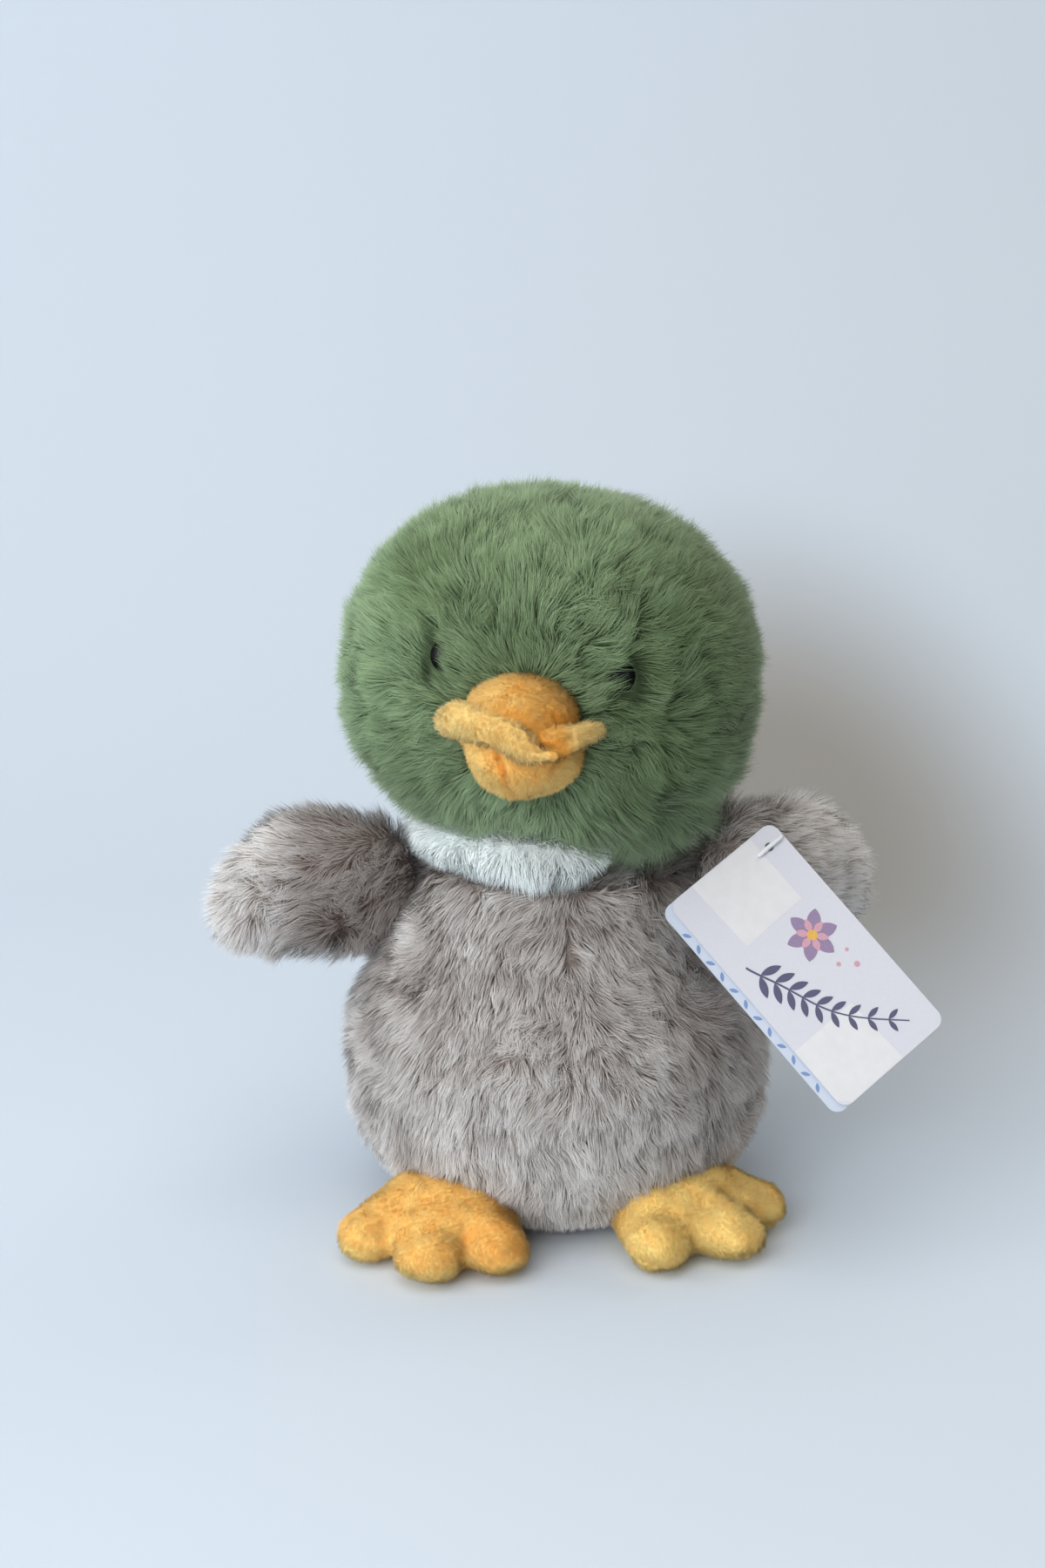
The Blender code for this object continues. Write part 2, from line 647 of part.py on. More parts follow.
def build_eye(side_name, side, frame):
    """Make an eye and its washer; return the pockets that they need in the pile and in the filling."""
    outward, outer, seat = eye_axis(side)
    base = seat + outward * (BACKING + GAP)
    radius = EYE_DIAMETER / 2
    stem_radius = EYE_STEM_DIAMETER / 2
    stem_end = base - outward * EYE_STEM_LENGTH
    turn = outward.to_track_quat("Z", "Y").to_matrix().to_4x4()

    def dome(unit):
        height = max(0.0, unit.z) * EYE_DOME_HEIGHT
        return Matrix.Translation(base) @ turn @ Vector((unit.x * radius, unit.y * radius, height))

    button = ball(f"form_eye_{side_name}", dome, SMALL_FACETS, frame)
    stem = rod(f"join_eye_stem_{side_name}", stem_radius, stem_end, base + outward * BACKING, parent=frame)
    piece(f"eye_{side_name}", button, "black_plastic", joins=(stem,))
    washer_top = seat - outward * WASHER_SLACK
    washer_bottom = washer_top - outward * WASHER_THICKNESS
    disc = rod(
        f"form_washer_{side_name}", WASHER_DIAMETER / 2, washer_bottom, washer_top, parent=frame
    )
    hole = rod(f"cut_stem_{side_name}", stem_radius + GAP, stem_end - outward * GAP, outer, parent=frame)
    piece(f"eye_washer_{side_name}", disc, "washer_plastic", cuts=(hole,))
    pocket = rod(
        f"cut_eye_pocket_{side_name}", radius + 2 * GAP, seat + outward * BACKING,
        outer + outward * OVERRUN, sides=POCKET_SIDES, parent=frame,
    )
    recess = rod(
        f"cut_washer_pocket_{side_name}", WASHER_DIAMETER / 2 + GAP,
        stem_end - outward * GAP, seat + outward * OVERRUN, sides=POCKET_SIDES, parent=frame,
    )
    return (pocket, hole), (recess,)


def build_bill(frame, head_clear):
    """Make the two bill covers and their fillings, seated on the head's pile."""
    upper = ball("form_bill_upper", upper_bill_surface, UPPER_BILL_FACETS, frame)
    upper_clear = ball("form_bill_upper_clear", upper_bill_surface, UPPER_BILL_FACETS, frame, grow=GAP)
    upper_in = ball("form_bill_upper_lining", upper_bill_surface, SMALL_FACETS, frame, grow=-SHORT_PILE)
    upper_core = ball(
        "form_bill_upper_core", upper_bill_surface, SMALL_FACETS, frame, grow=-SHORT_PILE - GAP
    )
    piece("bill_upper_cover", upper, "orange_minky", cuts=(head_clear, upper_in))
    piece("bill_upper_stuffing", upper_core, "polyester_fill", cuts=(head_clear,))
    lower = ball("form_bill_lower", lower_bill_surface, LOWER_BILL_FACETS, frame)
    lower_in = ball("form_bill_lower_lining", lower_bill_surface, SMALL_FACETS, frame, grow=-SHORT_PILE)
    lower_core = ball(
        "form_bill_lower_core", lower_bill_surface, SMALL_FACETS, frame, grow=-SHORT_PILE - GAP
    )
    under = ball(
        "form_bill_upper_under", upper_bill_surface, UPPER_BILL_FACETS, frame, grow=SHORT_PILE + GAP
    )
    piece("bill_lower_cover", lower, "orange_minky", cuts=(upper_clear, lower_in, head_clear))
    piece("bill_lower_stuffing", lower_core, "polyester_fill", cuts=(under, head_clear))


def wing_keep_outline(side):
    """Return the outline (x, z) that a wing keeps, so that its root can turn beside the body."""
    far = 2 * WING_LENGTH
    points = [
        (side * math.cos(WING_CLEAR_BELOW) * far, -math.sin(WING_CLEAR_BELOW) * far),
        (side * 2 * far, 0),
        (side * math.cos(WING_CLEAR_ABOVE) * far, math.sin(WING_CLEAR_ABOVE) * far),
    ]
    sweep = 2 * math.pi - WING_CLEAR_ABOVE - WING_CLEAR_BELOW
    for step in range(ROUND_SIDES + 1):
        angle = WING_CLEAR_ABOVE + sweep * step / ROUND_SIDES
        points.append((
            side * math.cos(angle) * WING_ROOT_RADIUS,
            math.sin(angle) * WING_ROOT_RADIUS,
        ))
    return points


def build_wing(side_name, extra_cuts=()):
    """Make one wing's two panels and its filling, on the axis at its root."""
    side = SIDES[side_name]
    frame = empty(f"wing_axis_{side_name}", (side * WING_AXIS_OUT, WING_AXIS_Y, WING_AXIS_HEIGHT))
    place = wing_placer(side_name)
    outer = ball(f"form_wing_{side_name}", place, WING_FACETS, frame, poles="X")
    inner = ball(f"form_wing_lining_{side_name}", place, WING_FACETS, frame, poles="X", grow=-WING_PILE)
    core = ball(
        f"form_wing_core_{side_name}", place, SMALL_FACETS, frame, poles="X", grow=-WING_PILE - 2 * GAP
    )
    keep = plate(
        f"keep_wing_{side_name}", wing_keep_outline(side), 4 * WING_THICKNESS,
        (QUARTER_TURN, 0, 0), parent=frame,
    )
    for half_name, facing in (("front", -1), ("back", 1)):
        half = plate(
            f"keep_wing_{side_name}_{half_name}", wing_half_outline(side_name, facing),
            4 * WING_HEIGHT, parent=frame,
        )
        cuts = (inner, *extra_cuts) if half_name == "front" else (inner,)
        piece(f"wing_{side_name}_{half_name}", outer, "grey_pile", keeps=(keep, half), cuts=cuts)
    piece(f"wing_{side_name}_stuffing", core, "polyester_fill", keeps=(keep,), cuts=extra_cuts)


def build_foot(side_name, body_clear):
    """Make one foot's upper, sole and filling, on the axis at its root."""
    root = FOOT_ROOTS[side_name]
    splay = FOOT_SPLAYS[side_name]
    axis_x = root[0] - math.sin(splay) * FOOT_AXIS_SETBACK
    axis_y = root[1] + math.cos(splay) * FOOT_AXIS_SETBACK
    frame = empty(
        f"foot_axis_{side_name}", (axis_x, axis_y, FOOT_AXIS_HEIGHT), rotation=(0, 0, splay)
    )
    outer = ball(f"form_foot_{side_name}", foot_surface, FOOT_FACETS, frame)
    inner = ball(f"form_foot_lining_{side_name}", foot_surface, FOOT_FACETS, frame, grow=-SHORT_PILE)
    core = ball(
        f"form_foot_core_{side_name}", foot_surface, FOOT_CORE_FACETS, frame, grow=-SHORT_PILE - 2 * GAP
    )
    far = 2 * FOOT_LENGTH
    ground = -FOOT_AXIS_HEIGHT
    seam = FOOT_SEAM_HEIGHT + ground
    keep_sole = block(f"keep_sole_{side_name}", (-far, -far, ground), (far, far, seam), frame)
    keep_upper = block(f"keep_upper_{side_name}", (-far, -far, seam + GAP), (far, far, far), frame)
    piece(f"foot_{side_name}_sole", outer, "orange_minky", keeps=(keep_sole,), cuts=(body_clear,))
    piece(
        f"foot_{side_name}_upper", outer, "orange_minky", keeps=(keep_upper,), cuts=(inner, body_clear)
    )
    piece(
        f"foot_{side_name}_stuffing", core, "polyester_fill", keeps=(keep_upper,), cuts=(body_clear,)
    )


def build_tail(body_clear):
    """Make the tail's two panels, seated on the body's back."""
    share = body_radius_share(TAIL_HEIGHT)
    frame = empty(
        "tail_frame", (0, share * BODY_DEPTH / 2, TAIL_HEIGHT), rotation=(TAIL_PITCH, 0, 0)
    )
    form = ball("form_tail", tail_surface, SMALL_FACETS, frame)
    far = 2 * TAIL_LENGTH
    keep_top = block("keep_tail_top", (-far, -far, GAP / 2), (far, far, far), frame)
    keep_bottom = block("keep_tail_bottom", (-far, -far, -far), (far, far, -GAP / 2), frame)
    piece("tail_top", form, "grey_pile", keeps=(keep_top,), cuts=(body_clear,))
    piece("tail_bottom", form, "grey_pile", keeps=(keep_bottom,), cuts=(body_clear,))


def rounded_rectangle(low, high, radius, corner_steps=CARD_CORNER_STEPS):
    """Return the outline of a rectangle with rounded corners."""
    points = []
    corners = (
        (high[0] - radius, high[1] - radius, 0.0),
        (low[0] + radius, high[1] - radius, QUARTER_TURN),
        (low[0] + radius, low[1] + radius, HALF_TURN),
        (high[0] - radius, low[1] + radius, HALF_TURN + QUARTER_TURN),
    )
    for across, up, start in corners:
        for step in range(corner_steps + 1):
            angle = start + QUARTER_TURN * step / corner_steps
            points.append((across + radius * math.cos(angle), up + radius * math.sin(angle)))
    return points


def build_tag(hang):
    """Make the folded card, with its hole on the swing axis; its face looks along +Z of the frame."""
    left = -TAG_HOLE_INSET
    right = TAG_LENGTH - TAG_HOLE_INSET
    top = TAG_HOLE_INSET
    bottom = TAG_HOLE_INSET - TAG_WIDTH
    back_bottom = bottom - TAG_BACK_OVERHANG
    turn = (0, 0, -TAG_ROLL)
    spacing = CARD_THICKNESS + TAG_LEAF_GAP
    front = plate(
        "form_tag_front", rounded_rectangle((left, bottom), (right, top), TAG_CORNER_RADIUS),
        CARD_THICKNESS, turn, parent=hang,
    )
    turned_back = plate(
        "join_tag_back", rounded_rectangle((left, back_bottom), (right, top), TAG_CORNER_RADIUS),
        CARD_THICKNESS, turn, (0, 0, -spacing), parent=hang,
    )
    fold = plate(
        "join_tag_fold",
        rounded_rectangle(
            (left + TAG_CORNER_RADIUS, top - TAG_FOLD_WIDTH),
            (right - TAG_CORNER_RADIUS, top - TAG_FOLD_INSET), TAG_FOLD_CORNER_RADIUS, SMALL_CORNER_STEPS,
        ),
        spacing, turn, (0, 0, -spacing / 2), parent=hang,
    )
    hole = rod(
        "cut_tag_hole", TAG_HOLE_DIAMETER / 2, (0, 0, -OVERRUN), (0, 0, OVERRUN), parent=hang
    )
    piece("swing_tag", front, "white_card", joins=(fold, turned_back), cuts=(hole,))


def build_fastener(hang):
    """Make the plastic fastener and return the cut that it needs through the left wing."""
    bar_radius = FASTENER_BAR_DIAMETER / 2
    bar_height = CARD_THICKNESS / 2 + GAP + bar_radius
    inner_height = bar_height - FILAMENT_LENGTH
    half = FASTENER_BAR_LENGTH / 2
    along = (math.sin(TAG_ROLL) * half, math.cos(TAG_ROLL) * half)
    filament = rod(
        "form_filament", FILAMENT_DIAMETER / 2, (0, 0, inner_height), (0, 0, bar_height),
        sides=THIN_SIDES, parent=hang,
    )
    bars = []
    for name, height in (("join_bar_outer", bar_height), ("join_bar_inner", inner_height)):
        bars.append(rod(
            name, bar_radius, (-along[0], -along[1], height), (along[0], along[1], height),
            sides=THIN_SIDES, parent=hang,
        ))
    piece("tag_fastener", filament, "clear_nylon", joins=bars)
    tunnel = rod(
        "cut_filament", FILAMENT_DIAMETER / 2 + GAP, (0, 0, inner_height), (0, 0, 0),
        sides=THIN_SIDES, parent=hang,
    )
    slot = rod(
        "cut_bar_slot", half + 2 * GAP, (0, 0, inner_height - bar_radius - GAP),
        (0, 0, inner_height + bar_radius + GAP), parent=hang,
    )
    return tunnel, slot


def build_label():
    """Make the blank care label, a folded ribbon in the seam between the back and the base."""
    share = body_radius_share(BASE_THICKNESS)
    half_width = share * BODY_WIDTH / 2
    half_depth = share * BODY_DEPTH / 2
    edge = math.sqrt(1.0 - (LABEL_OFFSET_X / half_width) ** 2) * half_depth
    outward = math.atan2(-LABEL_OFFSET_X / half_width ** 2, edge / half_depth ** 2)
    frame = empty(
        "label_frame", (LABEL_OFFSET_X, edge, BASE_THICKNESS), rotation=(-LABEL_SLOPE, 0, outward)
    )
    ribbon = plate(
        "form_label",
        rounded_rectangle(
            (-LABEL_WIDTH / 2, LABEL_THICKNESS), (LABEL_WIDTH / 2, LABEL_LENGTH),
            LABEL_CORNER_RADIUS, SMALL_CORNER_STEPS,
        ),
        LABEL_THICKNESS, parent=frame,
    )
    piece("care_label", ribbon, "satin_ribbon")


def build_duck():
    """Build every sub-part."""
    body_clear = build_body()
    build_collar()
    build_head()
    hang = empty(
        "tag_hang", TAG_HOLE_PLACE, rotation=(QUARTER_TURN - TAG_LEAN, 0, TAG_YAW)
    )
    build_tag(hang)
    fastener_cuts = build_fastener(hang)
    build_wing("left", fastener_cuts)
    build_wing("right")
    build_foot("left", body_clear)
    build_foot("right", body_clear)
    build_tail(body_clear)
    build_label()


build_duck()
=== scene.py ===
"""The plush duck as it looks: pile, plush bill and feet, eyes, card, floor, light and camera.

Metres, +Z up, in the CAD model's frame. The duck faces -Y and its own left is +X. Every pile piece is
one mesh: the cloth it is woven on, and its fibres as thin blades. A fibre's colour comes from its UV
place: across is its tone and up is how far along the fibre a point is. In places the tone also carries
painted light and shade.
"""

import math

import bmesh
import bpy
import numpy as np
from mathutils import Matrix, Vector
from mathutils.kdtree import KDTree


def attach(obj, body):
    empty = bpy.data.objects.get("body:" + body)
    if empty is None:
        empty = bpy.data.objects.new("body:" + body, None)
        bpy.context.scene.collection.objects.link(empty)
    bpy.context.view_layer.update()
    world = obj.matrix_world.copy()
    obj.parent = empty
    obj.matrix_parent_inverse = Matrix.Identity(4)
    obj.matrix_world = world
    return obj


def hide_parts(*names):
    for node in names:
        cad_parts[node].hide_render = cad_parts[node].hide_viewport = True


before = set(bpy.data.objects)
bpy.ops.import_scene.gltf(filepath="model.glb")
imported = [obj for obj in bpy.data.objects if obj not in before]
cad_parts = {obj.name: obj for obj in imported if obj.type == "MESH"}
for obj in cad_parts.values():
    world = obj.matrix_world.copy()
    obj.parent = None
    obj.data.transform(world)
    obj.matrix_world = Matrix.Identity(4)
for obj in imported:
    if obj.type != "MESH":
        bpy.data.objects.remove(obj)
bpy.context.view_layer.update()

SIDES = {"left": 1, "right": -1}
QUARTER_TURN = math.pi / 2
WHOLE_TURN = 2 * math.pi
UV_LAYER = "OFBake"

# Forms, from the CAD source
BODY_WIDTH = 0.119
BODY_DEPTH = 0.106
BODY_WIDEST_HEIGHT = 0.042
BODY_BELLY_DROP = 0.046
BODY_PEAR_LENGTH = 0.070
SHOULDER_HEIGHT = 0.100
BODY_NECK_SHARE = 0.60
BODY_ROUNDNESS_SHARE = 2.8
FRONT_SEAM_OFFSET = 0.002
SIDE_SEAM_OFFSET = 0.004
NECK = Vector((-0.0055, -0.004, 0.1099))
COLLAR_RADIUS = 0.0375
COLLAR_PILE = 0.0085
COLLAR_MIDDLE = 0.10495
HEAD_SIZE = (0.112, 0.104, 0.096)
HEAD_RISE = 0.0415
HEAD_ROUNDNESS_SHARE = 2.25
CHEEK_SHARE = 0.06
HEAD_TILT = math.radians(5.0)
HEAD_YAW = math.radians(-8.5)
GUSSET_WIDTH = 0.044
EYE_AZIMUTH = math.radians(26.5)
EYE_ELEVATION = math.radians(10.5)
WING_AXES = {"left": Vector((0.047, -0.004, 0.085)), "right": Vector((-0.047, -0.004, 0.085))}
WING_LENGTH = 0.062
WING_HEIGHT = 0.0435
WING_THICKNESS = 0.027
WING_CENTRE_OUT = 0.0175
WING_CENTRE_RISE = 0.0045
WING_TIP_DROP = 0.010
WING_BEND_LENGTH = 0.030
WING_SWEEPS = {"left": math.radians(34.0), "right": math.radians(4.0)}
WING_ROUNDNESS_SHARE = 2.2
FOOT_ROOTS = {"left": (0.0265, -0.0275), "right": (-0.0290, -0.0325)}
FOOT_SPLAYS = {"left": math.radians(42.0), "right": math.radians(-12.0)}
TAG_HOLE_PLACE = Vector((0.0547, -0.0243, 0.1059))
TAG_LEAN = math.radians(32.0)
TAG_YAW = math.radians(6.0)
TAG_ROLL = math.radians(53.0)

HEAD_FRAME = Matrix.Translation(NECK) @ Matrix.Rotation(HEAD_YAW, 4, "Z") @ Matrix.Rotation(HEAD_TILT, 4, "Y")


def unit(rows):
    """Return rows scaled to length one."""
    return rows / np.maximum(np.linalg.norm(rows, axis=-1, keepdims=True), 1e-12)


def smooth(low, high, values):
    """Return a smooth step from 0 at low to 1 at high."""
    share = np.clip((values - low) / (high - low), 0.0, 1.0)
    return share * share * (3.0 - 2.0 * share)


def bell(far, reach):
    """Return 1 where far is 0, fading away past reach."""
    return np.exp(-(far / reach) ** 2)


def distance(points, place):
    """Return how far points are from a place."""
    return np.linalg.norm(points - place, axis=-1)


def waves(points, wavelength, seed, channels=3, count=14):
    """Return smooth noise at points, about one wavelength from crest to crest, with unit spread."""
    rng = np.random.default_rng(seed)
    turns = unit(rng.normal(size=(count, 3))) * (WHOLE_TURN / wavelength)
    turns *= rng.uniform(0.7, 1.5, (count, 1))
    phases = rng.uniform(0, WHOLE_TURN, (count, channels))
    angles = points @ turns.T
    total = np.zeros((len(points), channels))
    for index in range(count):
        total += np.sin(angles[:, index, None] + phases[index])
    return total * math.sqrt(2.0 / count)


def noise(points, wavelength, seed):
    """Return one channel of waves at points."""
    return waves(points, wavelength, seed, 1)[:, 0]


def srgb(red, green, blue):
    """Return an sRGB colour of 0 to 255 as a linear RGBA colour."""
    values = []
    for level in (red, green, blue):
        share = level / 255.0
        values.append(share / 12.92 if share <= 0.04045 else ((share + 0.055) / 1.055) ** 2.4)
    return (*values, 1.0)


def add_object(name, data, matrix=None):
    """Return a new object, linked to the scene."""
    thing = bpy.data.objects.new(name, data)
    bpy.context.scene.collection.objects.link(thing)
    if matrix is not None:
        thing.matrix_world = matrix
    return thing


def voxel_mesh(thing, grain, relaxes):
    """Return an object's mesh, made over at one grain and relaxed."""
    remesh = thing.modifiers.new("remesh", "REMESH")
    remesh.mode = "VOXEL"
    remesh.voxel_size = grain
    thing.modifiers.new("relax", "SMOOTH").iterations = relaxes
    bpy.context.view_layer.update()
    return bpy.data.meshes.new_from_object(thing.evaluated_get(bpy.context.evaluated_depsgraph_get()))


def rows_of(items, key, kind=float):
    """Return a three-part property of a mesh's items as rows."""
    values = np.empty(len(items) * 3, kind)
    items.foreach_get(key, values)
    return values.reshape(-1, 3)


# Surfaces

def sphere_grid(around, rings, poles="Z"):
    """Return unit directions all over a sphere, and its triangles facing out."""
    latitude = np.linspace(0, math.pi, rings + 1)[1:-1]
    longitude = np.arange(around) * (WHOLE_TURN / around)
    lat, lon = np.meshgrid(latitude, longitude, indexing="ij")
    middle = np.stack([np.sin(lat) * np.cos(lon), np.sin(lat) * np.sin(lon), np.cos(lat)], -1).reshape(-1, 3)
    units = np.concatenate([[(0, 0, 1.0)], middle, [(0, 0, -1.0)]])
    last = len(units) - 1
    here = np.arange(around)
    after = (here + 1) % around
    faces = [np.stack([np.zeros_like(here), 1 + here, 1 + after], -1)]
    for ring in range(rings - 2):
        top = 1 + ring * around
        low = top + around
        faces.append(np.stack([top + here, low + here, low + after], -1))
        faces.append(np.stack([top + here, low + after, top + after], -1))
    top = 1 + (rings - 2) * around
    faces.append(np.stack([top + here, np.full_like(here, last), top + after], -1))
    if poles == "X":
        units = np.stack([units[:, 2], units[:, 1], -units[:, 0]], -1)
    return units, np.concatenate(faces)


def vertex_normals(points, faces):
    """Return the normals of a mesh's points, from the faces round them."""
    a, b, c = points[faces[:, 0]], points[faces[:, 1]], points[faces[:, 2]]
    crosses = np.cross(b - a, c - a)
    total = np.zeros_like(points)
    for corner in range(3):
        np.add.at(total, faces[:, corner], crosses)
    return unit(total)


def surface(place, around, rings, poles="Z"):
    """Return a form as points, triangles and normals."""
    units, faces = sphere_grid(around, rings, poles)
    points = place(units)
    normals = vertex_normals(points, faces)
    if np.sum(normals * (points - points.mean(0))) < 0:
        faces = faces[:, ::-1]
        normals = -normals
    return {"points": points, "faces": faces, "normals": normals}


def sunk(form, depth):
    """Return a form moved inwards along its normals."""
    return {**form, "points": form["points"] - form["normals"] * depth}


def part_of(form, chosen):
    """Return the part of a form whose faces' centres are chosen."""
    centres = form["points"][form["faces"]].mean(1)
    return {**form, "faces": form["faces"][chosen(centres)]}


def sample(form, density, seed):
    """Return places spread evenly over a form at random, with their normals and tones."""
    rng = np.random.default_rng(seed)
    corners = form["points"][form["faces"]]
    areas = np.linalg.norm(np.cross(corners[:, 1] - corners[:, 0], corners[:, 2] - corners[:, 0]), axis=1) / 2
    sums = np.cumsum(areas)
    count = int(sums[-1] * density * 1e4)
    picks = np.searchsorted(sums, (np.arange(count) + rng.uniform(size=count)) / count * sums[-1])
    picks = np.minimum(picks, len(areas) - 1)
    u, v = rng.uniform(size=(2, count))
    over = u + v > 1
    u[over], v[over] = 1 - u[over], 1 - v[over]
    weights = np.stack([1 - u - v, u, v], -1)[:, :, None]
    roots = (corners[picks] * weights).sum(1)
    normals = unit((form["normals"][form["faces"][picks]] * weights).sum(1))
    tones = np.zeros(count)
    if "tone" in form:
        tones = (form["tone"][form["faces"][picks]] * weights[:, :, 0]).sum(1)
    return roots, normals, tones


def along_surface(directions, normals):
    """Return directions laid flat on the surface, at length one."""
    return unit(directions - (directions * normals).sum(-1, keepdims=True) * normals)


def blob_distances(points, blobs):
    """Return how far points are from each blob, a blob being its middle and its three radii."""
    far = []
    for middle, radii in blobs:
        scaled = (points - np.array(middle)) / np.array(radii)
        size = np.linalg.norm(scaled, axis=-1)
        slope = np.linalg.norm(scaled / np.array(radii), axis=-1)
        far.append(size * (size - 1) / np.maximum(slope, 1e-9))
    return np.stack(far)


def melted(points, groups, melt, hollow=()):
    """Return how far points are from groups of blobs melted into one form, less its hollows."""
    far = np.stack([blob_distances(points, group).min(0) for group in groups])
    whole = -melt * np.log(np.exp(-np.clip(far / melt, -30, 30)).sum(0))
    for middle, radii, soft in hollow:
        dug = -blob_distances(points, [(middle, radii)])[0]
        whole = soft * np.logaddexp(whole / soft, dug / soft)
    return whole


def strand(nodes, beads):
    """Return blobs in a row along a path whose nodes give a middle and three radii."""
    rows = np.array([[*middle, *radii] for middle, radii in nodes])
    steps = np.concatenate([[0], np.cumsum(np.linalg.norm(np.diff(rows[:, :3], axis=0), axis=1))])
    places = np.linspace(0, steps[-1], beads)
    values = np.stack([np.interp(places, steps, rows[:, column]) for column in range(6)], -1)
    return [(tuple(value[:3]), tuple(value[3:])) for value in values]


def remeshed(points, faces, grain, relaxes):
    """Return a closed mesh's points and triangles, made over at one grain and relaxed."""
    mesh = bpy.data.meshes.new("blobs")
    mesh.from_pydata(points.tolist(), [], faces.tolist())
    thing = add_object("blobs", mesh)
    solid = voxel_mesh(thing, grain, relaxes)
    solid.calc_loop_triangles()
    result = rows_of(solid.vertices, "co"), rows_of(solid.loop_triangles, "vertices", int)
    bpy.data.objects.remove(thing)
    bpy.data.meshes.remove(solid)
    bpy.data.meshes.remove(mesh)
    return result


BLOB_RELAXES = (14, 1)
BLOB_STEPS = 4
BLOB_STEP_SHARE = 0.8
BLOB_LEAST_SLOPE = 0.2


def blob_form(groups, melt, grain, hollow=()):
    """Return groups of blobs melted into one closed form, its points moved onto the melted surface."""
    blobs = [blob for group in groups for blob in group]
    units, faces = sphere_grid(20, 12)
    points = np.concatenate([np.array(middle) + units * np.array(radii) for middle, radii in blobs])
    faces = np.concatenate([faces + index * len(units) for index in range(len(blobs))])
    small = grain * 0.05
    for relaxes in BLOB_RELAXES:
        points, faces = remeshed(points, faces, grain, relaxes)
        for _ in range(BLOB_STEPS):
            far = melted(points, groups, melt, hollow)
            slope = np.stack([
                melted(points + small * np.eye(3)[axis], groups, melt, hollow) - far for axis in range(3)
            ], -1) / small
            steepness = np.maximum((slope * slope).sum(-1, keepdims=True), BLOB_LEAST_SLOPE)
            points = points - BLOB_STEP_SHARE * far[:, None] * slope / steepness
    return {"points": points, "faces": faces, "normals": vertex_normals(points, faces)}


# Pile

STRAY_LEAN = 0.12
STRAY_TONE = 0.10
STRAY_COMB = 0.24
BLADE_TWIST = 0.30
BLADE_PROFILE = (1.0, 0.9, 0.62, 0.4)
BLADE_WIDTH_RANGE = (0.7, 1.3)
LENGTH_RANGE = (0.72, 1.12)
FLOOR_SPREAD = 0.0006
TUFT_LENGTH = 0.006
PILE_DEFAULTS = {
    "wild": 0.25, "swirl": 0.35, "swirl_length": 0.022, "floor": None, "facing": 0.25, "cloth_along": 0.20,
}


def clumped(path, roots, tone, clumps, area, rng):
    """Pull fibres together into clumps of each spacing, and give each clump its shade."""
    levels, count = len(path) - 1, len(roots)
    for spacing, low, high, power, shade in clumps:
        guides = rng.choice(count, max(1, min(count, int(area / spacing ** 2))), replace=False)
        tree = KDTree(len(guides))
        for index, guide in enumerate(guides):
            tree.insert(roots[guide], index)
        tree.balance()
        nearest = np.array([tree.find(root)[1] for root in roots])
        pull = rng.uniform(low, high, len(guides))[nearest]
        tone += rng.normal(0, shade, len(guides))[nearest]
        goal = path[:, guides[nearest]].copy()
        for level in range(1, levels + 1):
            share = pull * (level / levels) ** power
            path[level] += (goal[level] - path[level]) * share[:, None]


def grow(roots, normals, combs, lengths, leans, settings, width, density):
    """Return fibres as blades, or as needles where they have one level: points, faces, UV places and normals."""
    rng = np.random.default_rng(settings["seed"] + 4)
    levels, count = settings["levels"], len(roots)
    path = np.empty((levels + 1, count, 3))
    path[0] = roots
    stray = rng.normal(0, STRAY_LEAN, count)
    for level in range(levels):
        share = (level + 0.5) / levels
        angle = leans[0] + (leans[1] - leans[0]) * share + stray
        step = np.cos(angle)[:, None] * normals + np.sin(angle)[:, None] * combs
        path[level + 1] = path[level] + step * (lengths / levels)[:, None]
    tone = rng.normal(0, STRAY_TONE, count)
    clumped(path, roots, tone, settings["clumps"], count / density, rng)
    if settings["floor"] is not None:
        path[:, :, 2] = np.maximum(path[:, :, 2], settings["floor"] + rng.uniform(0, FLOOR_SPREAD, count))
    run = unit(path[-1] - path[0])
    side = unit(np.cross(run, normals + rng.normal(0, BLADE_TWIST, (count, 3))))
    facing = np.cross(side, run)
    wrong = (facing * normals).sum(-1) < 0
    side[wrong] *= -1
    facing[wrong] *= -1
    half = width / 2 * rng.uniform(*BLADE_WIDTH_RANGE, count)
    if levels == 1:
        return needles(path, side, facing, half, tone, normals)
    points, alongs = [], []
    for level in range(levels):
        reach = side * (half * BLADE_PROFILE[level])[:, None]
        points += [path[level] - reach, path[level] + reach]
        alongs += [level / levels, level / levels]
    points.append(path[-1])
    alongs.append(1.0)
    each = 2 * levels + 1
    starts = (np.arange(count) * each)[:, None]
    quads = np.concatenate([starts + 2 * level + np.array([[0, 1, 3, 2]]) for level in range(levels - 1)])
    tips = starts + np.array([[2 * levels - 2, 2 * levels - 1, 2 * levels]])
    shading = unit(normals * (1 - settings["facing"]) + facing * settings["facing"])
    return {
        "points": np.stack(points, 1).reshape(-1, 3), "quads": quads, "tris": tips,
        "places": np.stack([np.repeat(tone, each), np.tile(alongs, count)], -1),
        "normals": np.repeat(shading, each, 0),
    }


NAP_ALONG = 0.7


